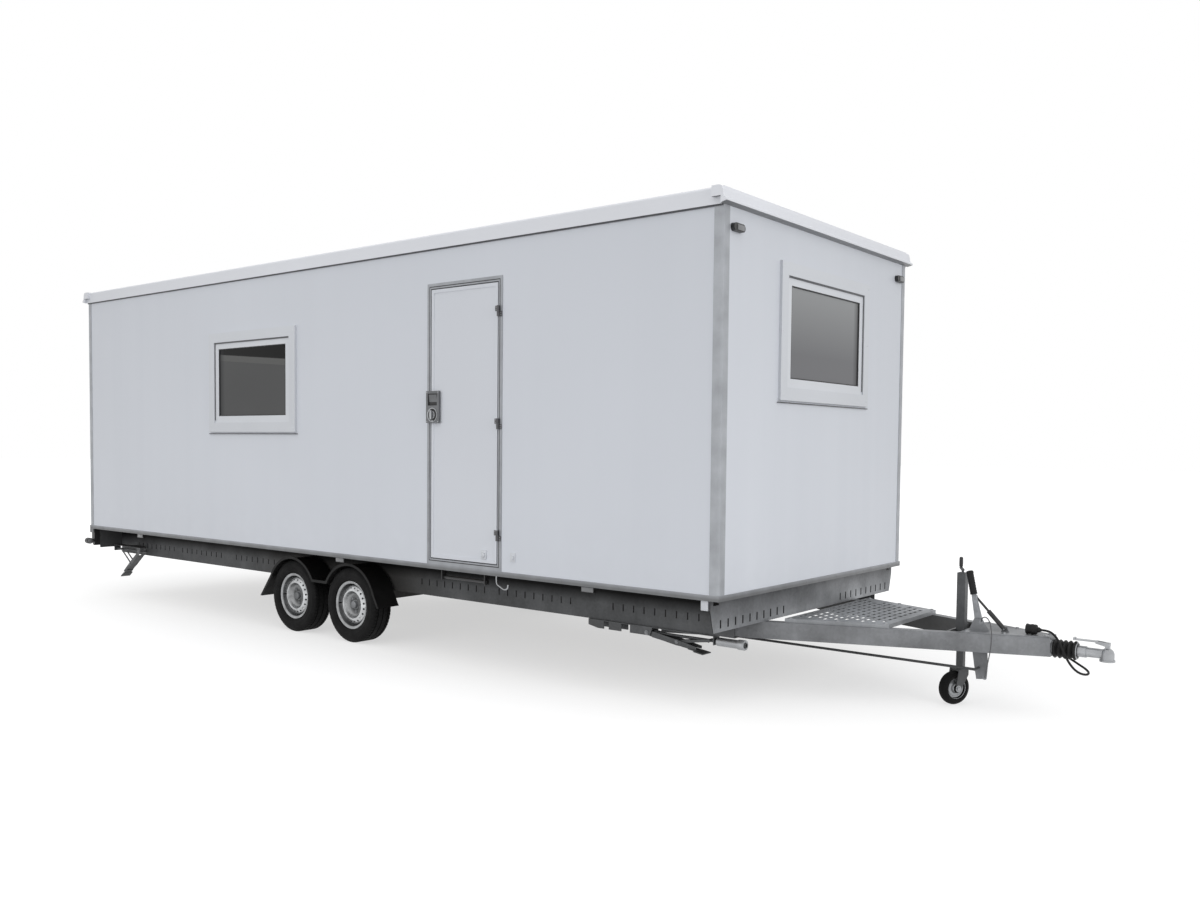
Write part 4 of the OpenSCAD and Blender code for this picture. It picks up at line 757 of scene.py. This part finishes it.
BOLT_CIRCLE, BOLT_SEAT, BOLT_R = 0.0555, 0.027, 0.0105
DUST_CAP = [
    (0, 0.0600), (0.0120, 0.0596), (0.0220, 0.0578), (0.0275, 0.0545), (0.0290, 0.0500), (0.0290, 0.0375),
    (0.0330, 0.0370), (0.0335, 0.0358), (0.0258, 0.0358), (0.0258, 0.0495), (0.0200, 0.0535), (0, 0.0550),
]
VALVE_REACH, VALVE_SEAT, VALVE_LEAN = 0.1585, 0.042, 0.24
VALVE = [(0.0045, 0), (0.0045, 0.016), (0.0032, 0.018), (0.0032, 0.026), (0.0040, 0.0265), (0.0040, 0.034), (0, 0.035)]

for end in ("front", "rear"):
    for side, out in (("near", -Y), ("far", Y)):
        body = f"wheel_{end}_{side}"
        hub = Vector(joints[body + "_spin"]["pos_m"])
        bm = bmesh.new()
        lathe(bm, TYRE_OUTLINE, hub, out, TREAD_TURNS, loop=True, wave=tread)
        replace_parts(piece(f"tyre_tread_{end}_{side}", bm, "tyre_rubber", body, angle=28), f"tyre_{end}_{side}")
        bm = bmesh.new()
        lathe(bm, RIM_BARREL, hub, out, RIM_TURNS, loop=True)
        for depth in (0, RIM_STEEL):
            for outline in (DISC_FOOT, DISC_DISH):
                lathe(bm, [(r, h - depth) for r, h in outline], hub, out, RIM_TURNS)
        for r, h in (DISC_FOOT[0], DISC_DISH[-1]):
            lathe(bm, [(r, h), (r, h - RIM_STEEL)], hub, out, RIM_TURNS)
        holed_ring(bm, hub, out, DISC_DISH[0], DISC_FOOT[-1], RIM_HOLES, HOLE_R, RIM_STEEL, HOLE_STEPS)
        bmesh.ops.remove_doubles(bm, verts=bm.verts, dist=1e-5)
        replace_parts(piece(f"wheel_rim_{end}_{side}", bm, "rim_silver", body, angle=40), f"rim_{end}_{side}")
        bm = bmesh.new()
        lathe(bm, DUST_CAP, hub, out, 40)
        right, up = across(out)
        for i in range(5):
            turn = 2 * math.pi * (i + 0.3) / 5
            reach = math.cos(turn) * right + math.sin(turn) * up
            bolt(bm, hub + BOLT_CIRCLE * reach + BOLT_SEAT * out, out, BOLT_R)
        piece(f"wheel_fittings_{end}_{side}", bm, "rim_silver", body, DULL_ZINC)
        bm = bmesh.new()
        lathe(bm, VALVE, hub + VALVE_REACH * right + VALVE_SEAT * out, out - VALVE_LEAN * right, 12)
        piece(f"wheel_valve_{end}_{side}", bm, "tyre_rubber", body)


# Windows: grey gaskets at the sashes' tops and sides and under the trims, which also stand in for the reveals' shade
# and the trims' shadow line as painted shade, dark seals round the glass, and trim screws

HALF_W, HALF_H = 1.065 / 2, 0.677 / 2  # of the holes in the walls
for name, centre, right in (
    ("front", from_front(0, 0, 1.577), Y), ("side", from_front(SIDE_WINDOW_X, NEAR_Y, SIDE_WINDOW_Z), X),
):
    out = right.cross(Z)
    place = Matrix.Translation(centre) @ Matrix((right, Z, out)).transposed().to_4x4()
    # grey gasket strips at the sash's top and sides and under the trim, which also stand in for the reveals' shade and
    # the trim's shadow line as painted shade
    bm = bmesh.new()
    block(bm, (-HALF_W, HALF_H - 0.011, 0.0075), (HALF_W, HALF_H + 0.0003, 0.0150), 0.002, place)
    for s in (-1, 1):
        low, high = sorted((s * HALF_W, s * (HALF_W - 0.008)))
        block(bm, (low, -HALF_H + 0.02, 0.0075), (high, HALF_H - 0.010, 0.0130), 0.002, place)
    block(bm, (-HALF_W - 0.095, -HALF_H - 0.096, -SINK), (HALF_W + 0.095, -HALF_H - 0.090, 0.0120), 0.002, place)
    piece(f"window_gaskets_and_shade_{name}", bm, "white_plastic", "cabin", GASKET_AND_SHADE)
    bm = bmesh.new()
    frame_ring(bm, centre - out * SINK, right, Z, GLASS, 0.007, 0.0065)
    piece(f"window_seals_{name}", bm, "white_plastic", "cabin", SEAL_AND_SHADE)
    bm = bmesh.new()
    for a in (-1, 1):
        for b in (-1, 0, 1):
            spot = centre + right * a * (HALF_W + 0.055) + Z * b * (HALF_H + 0.045) + out * 0.018
            dome(bm, spot, out, 0.006, 0.0025)
    piece(f"window_screws_{name}", bm, "white_plastic", "cabin")


# Door: the frame's joint line, a seal in the leaf's gap that also darkens it as painted shade, lock details with
# painted shade in the lock's recess, catch cover and hinge screws

DOOR_CLEAR = (0.652, 1.871)
DOOR = from_front(-2.049, NEAR_Y, 1.0075)
jointed(MATERIALS["frame_profile"], DOOR, DOOR_CLEAR)
# a grey seal lining the door's opening, which also darkens the leaf's gap as painted shade
bm = bmesh.new()
frame_ring(bm, DOOR + 0.040 * Y, X, Z, DOOR_CLEAR, 0.003, 0.041)
piece("door_seal_and_shade", bm, "frame_profile", "cabin", GASKET_AND_SHADE)

LOCK = from_front(-2.3395, NEAR_Y - 0.0215, 1.128)
BARREL = LOCK - 0.055 * Z
# painted shade: a black sheet in the lock's recess and a black ring round the barrel
bm = bmesh.new()
block_about(bm, LOCK, (-0.0455, 0.0070, 0.0105), (0.0455, 0.0090, 0.0915), 0.0008)
lathe(bm, [(0.0285, 0.0004), (0.0430, 0.0004), (0.0430, -0.0002), (0.0285, -0.0002)], BARREL, -Y, 40, loop=True)
piece("lock_recess_shade", bm, "lock_metal", "door", SEAL_AND_SHADE)
bm = bmesh.new()
paddle = Matrix.Translation(LOCK + Vector((0, 0.0042, 0.072))) @ Matrix.Rotation(math.radians(7), 4, "X")
block(bm, (-0.040, -0.0018, -0.050), (0.040, 0.0018, 0.014), 0.0015, paddle)
piece("lock_paddle", bm, "lock_metal", "door")
bm = bmesh.new()
lathe(bm, [
    (0.0425, 0.0012), (0.0450, 0.0040), (0.0475, 0.0045), (0.0492, 0.0028), (0.0492, -SINK), (0.0425, -SINK),
], BARREL, -Y, 56, loop=True)
lathe(bm, [
    (0.0225, 0.0075), (0.0262, 0.0075), (0.0275, 0.0060), (0.0275, -SINK), (0.0225, -SINK),
], BARREL, -Y, 48, loop=True)
block_about(bm, BARREL - 0.0135 * Y, (-0.0080, -0.0075, -0.031), (0.0080, 0.0065, 0.031), 0.0030)
dome(bm, LOCK - 0.097 * Z, -Y, 0.0085, 0.004)
for a in (-1, 1):
    for b in (-1, 1):
        dome(bm, LOCK + Vector((a * 0.056, 0, b * 0.1015)), -Y, 0.0045, 0.002)
piece("lock_bright_parts", bm, "lock_metal", "door", ZINC)

CATCH = from_front(-1.847, NEAR_Y, 0.1345)
bm = bmesh.new()
block_about(bm, CATCH, (-0.0228, -0.0088, -0.0308), (0.0228, -SINK, 0.0308), 0.002)
block_about(bm, CATCH, (-0.0128, -0.0188, -0.0148), (0.0128, -0.0060, 0.0148), 0.003)
piece("door_catch_cover", bm, "white_plastic", "door")

HINGE = Vector(joints["door_hinge"]["pos_m"])
LEAF_FOOT, LEAF_HEIGHT, HINGE_INSET = 0.0795, 1.856, 0.19
bm_frame, bm_leaf = bmesh.new(), bmesh.new()
for height in (HINGE_INSET, LEAF_HEIGHT / 2, LEAF_HEIGHT - HINGE_INSET):
    middle = Vector((HINGE.x, NEAR_Y, FLOOR_Z + LEAF_FOOT + height))
    for lift in (0.009, 0.025):
        dome(bm_frame, middle + Vector((0.017, -0.008, -0.034 + lift)), -Y, 0.0032, 0.0016)
        dome(bm_leaf, middle + Vector((-0.0265, -0.009, 0.002 + lift)), -Y, 0.0032, 0.0016)
    dome(bm_leaf, Vector((HINGE.x, HINGE.y, middle.z + 0.036)), Z, 0.0085, 0.003)
piece("hinge_screws_frame", bm_frame, "hinge_black", "cabin", ZINC)
piece("hinge_screws_leaf", bm_leaf, "hinge_black", "door", ZINC)


# Lamps and reflectors

bm = bmesh.new()
for s in (-1, 1):
    centre = from_front(0.026, s * 1.12, 2.103)
    block_about(bm, centre, (-0.001, -0.026, -0.0165), (0.004, 0.050, 0.0165), 0.0035)
piece("front_marker_lenses", bm, "lamp_plastic", "cabin", CLEAR_LENS)

bm = bmesh.new()
for s in (-1, 1):
    for share in (0.13, 0.463, 0.87):
        centre = from_front(-share * CABIN_LENGTH, s * (-NEAR_Y - 0.003), -0.018)
        block_about(bm, centre, (-0.046, -0.0022, -0.0145), (0.046, 0.0022, 0.0145), 0.0015)
piece("side_marker_lenses", bm, "lamp_plastic", "cabin", CLEAR_LENS)

bm = bmesh.new()
for s in (-1, 1):
    centre = from_front(-0.095, s * (-NEAR_Y - 0.015), -0.0295)
    block_about(bm, centre, (-0.0240, -0.0118, -0.0290), (0.0240, 0.0118, 0.0285), 0.002)
piece("corner_reflectors", bm, "white_plastic", "cabin")

TINTS = {"red": RED_LENS, "amber": AMBER_LENS, "clear": CLEAR_LENS}
lenses = {tint: bmesh.new() for tint in TINTS}
for s in (-1, 1):
    for tint, start, end in (("amber", 0.010, 0.058), ("red", 0.061, 0.112), ("clear", 0.115, 0.162)):
        low, high = sorted(s * (-NEAR_Y - 0.006 - inset) for inset in (start, end))
        block(lenses[tint], (REAR_X - 0.001, low, FLOOR_Z - 0.126), (REAR_X + 0.0068, high, FLOOR_Z - 0.010), 0.003)
    stalk = Vector((REAR_X + 0.033, s * (-NEAR_Y + 0.0372), FLOOR_Z - 0.1188))
    dome(lenses["red"], stalk - 0.026 * X, -X, 0.024, 0.0055)
    dome(lenses["clear"], stalk + 0.026 * X, X, 0.024, 0.0055)
for tint, finish in TINTS.items():
    piece(f"rear_lenses_{tint}", lenses[tint], "lamp_plastic", "cabin", finish)


# Overrun bellows with its clamp bands

BELLOWS_START, BELLOWS_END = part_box("bellows")[0][0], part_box("bellows")[1][0]
SHAFT_Z = FLOOR_Z - 0.252
FOLDS, FOLD_POINTS = 5, 10
LOW_R, HIGH_R, BORE_R = 0.0425, 0.0538, 0.0272
length = BELLOWS_END - BELLOWS_START
outline = [(BORE_R, 0)]
for i in range(FOLDS * FOLD_POINTS + 1):
    swell = 0.5 - 0.5 * math.cos(2 * math.pi * i / FOLD_POINTS)
    outline.append((LOW_R + (HIGH_R - LOW_R) * swell ** 0.75, length * i / (FOLDS * FOLD_POINTS)))
outline.append((BORE_R, length))
shaft_start = Vector((BELLOWS_START, 0, SHAFT_Z))
bm = bmesh.new()
lathe(bm, outline, shaft_start, X, 64, loop=True)
bellows = piece("overrun_bellows", bm, "bellows_rubber", "cabin", angle=50)
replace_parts(bellows, "bellows")
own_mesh(bellows)
BAND = [(0.0415, 0), (0.0462, 0), (0.0466, 0.0035), (0.0462, 0.007), (0.0415, 0.007)]
for name, start, body in (("nose", BELLOWS_START + 0.0002, "cabin"), ("head", BELLOWS_END - 0.0072, "coupling")):
    bm = bmesh.new()
    lathe(bm, BAND, Vector((start, 0, SHAFT_Z)), X, 48, loop=True)
    block(bm, (start, -0.006, SHAFT_Z + 0.045), (start + 0.007, 0.006, SHAFT_Z + 0.0525), 0.0015)
    piece(f"bellows_band_{name}", bm, "galvanised", body, ZINC)


# Handbrake grip and the jockey wheel's crank grip, discs and nuts

LEVER = Vector(joints["handbrake_pull"]["pos_m"])
lean = math.radians(12)
grip_axis = Vector((-math.sin(lean), 0, math.cos(lean)))
outline = [(0.0165, 0.158), (0.0205, 0.159), (0.0212, 0.163), (0.0196, 0.167)]
for i in range(7):
    start = 0.169 + 0.0155 * i
    outline += [(0.0190, start), (0.0200, start + 0.004), (0.0200, start + 0.0105), (0.0190, start + 0.0145)]
outline += [(0.0202, 0.280), (0.0212, 0.286), (0.0205, 0.2925), (0.0170, 0.2965), (0.0085, 0.2985), (0, 0.2988)]
bm = bmesh.new()
lathe(bm, outline, LEVER, grip_axis, 40)
piece("handbrake_grip", bm, "strut_black", "handbrake", RUBBER, 40)

CRANK, CRANK_REACH, CRANK_TURN = from_front(0.930, 0, 0.136), 0.114, math.radians(115)
crank_end = CRANK + CRANK_REACH * Vector((math.cos(CRANK_TURN), math.sin(CRANK_TURN), 0))
bm = bmesh.new()
lathe(bm, [
    (0.0072, 0.022), (0.0100, 0.023), (0.0112, 0.028), (0.0118, 0.050), (0.0112, 0.074), (0.0090, 0.0805),
    (0.0045, 0.0825), (0, 0.0828),
], crank_end, Z, 24)
piece("crank_grip", bm, "strut_black", "cabin")

JOCKEY = Vector(joints["jockey_spin"]["pos_m"])
JOCKEY_AXIS = Vector(joints["jockey_spin"]["axis"])
DISC = [
    (0.0268, 0.0318), (0.0275, 0.0312), (0.0326, 0.0146), (0.0345, 0.0139), (0.0440, 0.0139), (0.0455, 0.0158),
    (0.0490, 0.0158), (0.0505, 0.0139), (0.0552, 0.0139), (0.0566, 0.0146), (0.0600, 0.0268), (0.0612, 0.0281),
    (0.0625, 0.0283),
]
DISC_STEEL = 0.0006
bm, bm_nuts = bmesh.new(), bmesh.new()
for s in (-1, 1):
    lathe(bm, DISC + [(r, h - DISC_STEEL) for r, h in reversed(DISC)], JOCKEY, s * JOCKEY_AXIS, 64, loop=True)
    bolt(bm_nuts, JOCKEY + 0.042 * s * JOCKEY_AXIS, s * JOCKEY_AXIS, 0.0125)
piece("jockey_discs", bm, "rim_silver", "jockey_wheel", ZINC)
piece("jockey_nuts", bm_nuts, "galvanised", "jockey_fork", ZINC)


# Corner steadies: bolts on the pivots and the leg pins, screw threads and the front sockets' sleeves

CHEEK_OUT, LEG_OUT = 0.039, 0.032
THREAD_START, THREAD_END, THREAD_PITCH = 0.062, 0.482, 0.006
SOCKET_SLEEVE = [
    (0.0158, 0.4985), (0.0240, 0.4985), (0.0258, 0.5010), (0.0258, 0.6380), (0.0285, 0.6430), (0.0305, 0.6500),
    (0.0305, 0.6880), (0.0290, 0.6915), (0.0215, 0.6915), (0.0158, 0.6885),
]
bm_pivots, bm_threads, bm_sleeves = bmesh.new(), bmesh.new(), bmesh.new()
for end, way in (("front", X), ("rear", -X)):
    for side in ("near", "far"):
        pivot = Vector(joints[f"leg_{end}_{side}_swing"]["pos_m"])
        pin = Vector(joints[f"leg_strut_{end}_{side}_turn"]["pos_m"])
        bm = bmesh.new()
        for s in (-1, 1):
            bolt(bm_pivots, pivot + s * CHEEK_OUT * Y, s * Y, 0.0095)
            bolt(bm, pin + s * LEG_OUT * Y, s * Y, 0.0085)
        piece(f"leg_bolts_{end}_{side}", bm, "galvanised", f"leg_{end}_{side}", DULL_ZINC)
        outline = [(0, THREAD_START)]
        for i in range(int((THREAD_END - THREAD_START) / THREAD_PITCH)):
            start = THREAD_START + i * THREAD_PITCH
            outline += [(0.0083, start), (0.0094, start + 0.0022), (0.0094, start + 0.0038)]
        outline += [(0.0083, THREAD_END), (0, THREAD_END)]
        lathe(bm_threads, outline, pivot, way, 16)
        if end == "front":
            lathe(bm_sleeves, SOCKET_SLEEVE, pivot, way, 40, loop=True)
piece("steady_sleeves", bm_sleeves, "galvanised", "cabin", ZINC)
piece("steady_bolts", bm_pivots, "galvanised", "cabin", DULL_ZINC)
piece("steady_threads", bm_threads, "galvanised", "cabin", DARK_ZINC)


# Dark sheets behind the rails' slots as painted shade, a seal under the roof's lip that also stands in for the lip's
# shadow line as painted shadow, and the bar and hook stowed under the door

RAIL_Y, RAIL_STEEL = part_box("side_rails")[0][1], 0.005
SIDE_SLOTS_Z = -0.155
# painted shade: black sheets just behind the rails' slots, seen through them
bm = bmesh.new()
for share in (0.087, 0.225, 0.334, 0.668, 0.79, 0.9):
    for s in (-1, 1):
        low, high = sorted(s * (-RAIL_Y - RAIL_STEEL - depth) for depth in (-0.0003, 0.0020))
        middle = from_front(-share * CABIN_LENGTH, 0, SIDE_SLOTS_Z)
        block_about(bm, middle, (-0.38, low, -0.035), (0.38, high, 0.035), 0.0006)
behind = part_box("front_cross_rail")[1][0] - RAIL_STEEL
for s in (-1, 1):
    middle = Vector((behind, s * FRONT_SLOTS_Y, FLOOR_Z + FRONT_SLOTS_Z))
    block_about(bm, middle, (-0.0020, -0.40, -0.032), (0.0003, 0.40, 0.032), 0.0006)
piece("rail_slot_shade_sheets", bm, "chassis_steel", "cabin", SEAL_AND_SHADE)

LIP_Z = FLOOR_Z + 2.215
# a grey seal strip under the roof's lip, which also stands in for the lip's shadow line as painted shadow
bm = bmesh.new()
for s in (-1, 1):
    low, high = sorted(s * (-NEAR_Y + depth) for depth in (-0.001, 0.0075))
    block(bm, (REAR_X + 0.002, low, LIP_Z - 0.0085), (FRONT_X - 0.002, high, LIP_Z + SINK), 0.002)
piece("roof_seal_and_shade", bm, "roof_sheet", "cabin", GASKET_AND_SHADE)

BAR_Y = NEAR_Y + 0.060
bm = bmesh.new()
for x in (-2.305, -1.885):
    hanger = from_front(x, BAR_Y, 0)
    block_about(bm, hanger, (-0.004, -0.022, -0.078), (0.004, 0.022, SINK), 0.002)
    block_about(bm, hanger, (-0.030, -0.022, -0.004), (0.030, 0.022, SINK), 0.0015)
sweep(bm, [from_front(x, BAR_Y, -0.058) for x in (-2.318, -1.872)], [0.011, 0.011], 20)
piece("step_bar", bm, "chassis_steel", "cabin", BLACK)
bm = bmesh.new()
hook = smooth(smooth([from_front(x, BAR_Y, z) for x, z in (
    (-1.792, SINK), (-1.792, -0.030), (-1.785, -0.062), (-1.758, -0.078), (-1.718, -0.094), (-1.690, -0.084),
    (-1.684, -0.060),
)]))
sweep(bm, hook, [0.0055] * len(hook), 14)
block(bm, from_front(-1.815, BAR_Y - 0.018, -0.004), from_front(-1.770, BAR_Y + 0.018, SINK), 0.0015)
piece("step_hook", bm, "galvanised", "cabin", ZINC)


# Bolts on the drawbar and rivets along the floor's edge strip

def beam_half(x):
    """Half the width over the drawbar's beams at a distance in front of the wall."""
    return 0.626 - 0.39 * x


STEP_TOP, DECK_TOP, NOSE_FRONT, BOLT_INSET = -0.165, -0.182, 1.457, 0.030
bm = bmesh.new()
for s in (-1, 1):
    for top, size, places in ((STEP_TOP, 0.009, (0.085, 0.345, 0.605)), (DECK_TOP, 0.010, (1.03, 1.22, 1.428))):
        for x in places:
            bolt(bm, from_front(x, s * (beam_half(x) - BOLT_INSET), top), Z, size)
    bolt(bm, from_front(NOSE_FRONT, s * 0.046, -0.207), X, 0.008)
bolt(bm, from_front(NOSE_FRONT, -0.046, -0.283), X, 0.008)
piece("drawbar_bolts", bm, "galvanised", "cabin", ZINC)

STRIP_STEEL, RIVET_Z, RIVET = 0.006, 0.0165, (0.0045, 0.002)
bm = bmesh.new()
for i in range(16):
    for s in (-1, 1):
        dome(bm, from_front(-0.25 - 0.4555 * i, s * (-NEAR_Y + STRIP_STEEL), RIVET_Z), s * Y, *RIVET)
for i in range(6):
    y = -1.05 + 0.42 * i
    dome(bm, from_front(STRIP_STEEL, y, RIVET_Z), X, *RIVET)
    dome(bm, Vector((REAR_X - STRIP_STEEL, y, FLOOR_Z + RIVET_Z)), -X, *RIVET)
piece("edge_rivets", bm, "edge_strip", "cabin")


# Floor, light and background

bpy.context.scene.view_settings.view_transform = "Standard"
WHITE = (1, 1, 1, 1)


def seen_white(tree):
    """A factor that is 1 for what the camera, a gloss or a glass sees."""
    rays = tree.nodes.new("ShaderNodeLightPath").outputs
    total = sums("MAXIMUM", rays["Is Camera Ray"], rays["Is Glossy Ray"])
    return sums("MAXIMUM", total, rays["Is Transmission Ray"])


def make_world(strength):
    """Plain white where it is seen, and an even light of a strength otherwise."""
    world = bpy.data.worlds.new("studio")
    bpy.context.scene.world = world
    world.use_nodes = True
    tree = world.node_tree
    light = fill(tree.nodes["Background"], Color=WHITE, Strength=strength)
    white = fill(tree.nodes.new("ShaderNodeBackground"), Color=WHITE, Strength=1)
    mix = fill(tree.nodes.new("ShaderNodeMixShader"), Fac=seen_white(tree))
    put(mix.inputs[1], light.outputs["Background"])
    put(mix.inputs[2], white.outputs["Background"])
    fill(tree.nodes["World Output"], Surface=mix.outputs["Shader"])


def make_floor(size, near_lift, far_lift):
    """A pale floor that turns to the background's white away from the object."""
    bm = bmesh.new()
    bmesh.ops.create_grid(bm, x_segments=1, y_segments=1, size=size)
    mesh = bpy.data.meshes.new("studio_floor")
    bm.to_mesh(mesh)
    bm.free()
    floor = bpy.data.objects.new("studio_floor", mesh)
    bpy.context.scene.collection.objects.link(floor)
    material, shader, place = new_material("studio_floor")
    tone = blend(noise(place, 0.3), (0.38, 0.38, 0.38), (0.42, 0.42, 0.42))
    x, y, _ = along(place)
    squares = [sums("POWER", sums("MULTIPLY", value, scale), 2) for value, scale in ((x, 0.18), (y, 0.36))]
    lift = ranged(sums("SQRT", sums("ADD", *squares)), near_lift, far_lift, 0.5, 1.6)
    glow = sums("MULTIPLY", seen_white(material.node_tree), lift)
    fill(shader, Base_Color=tone, Roughness=0.9, Specular_IOR_Level=0, Emission_Color=WHITE, Emission_Strength=glow)
    mesh.materials.append(material)


def soft_lamp(name, place, target, size, power):
    """A square lamp turned to a target, left out of reflections."""
    lamp = bpy.data.lights.new(name, "AREA")
    lamp.shape = "SQUARE"
    lamp.size = size
    lamp.energy = power
    lamp_object = bpy.data.objects.new(name, lamp)
    bpy.context.scene.collection.objects.link(lamp_object)
    lamp_object.location = place
    lamp_object.visible_glossy = False
    lamp_object.rotation_euler = (Vector(target) - Vector(place)).to_track_quat("-Z", "Y").to_euler()


make_world(strength=0.75)
make_floor(size=80, near_lift=0.58, far_lift=0.88)
soft_lamp("overhead", (1, -3, 9), (-1, 0, 1), size=9, power=180)
soft_lamp("front", (11, -2, 3), (2, 0, 1.5), size=5, power=290)
soft_lamp("side", (-1, -11, 2.5), (-1, -1, 1.4), size=7, power=300)
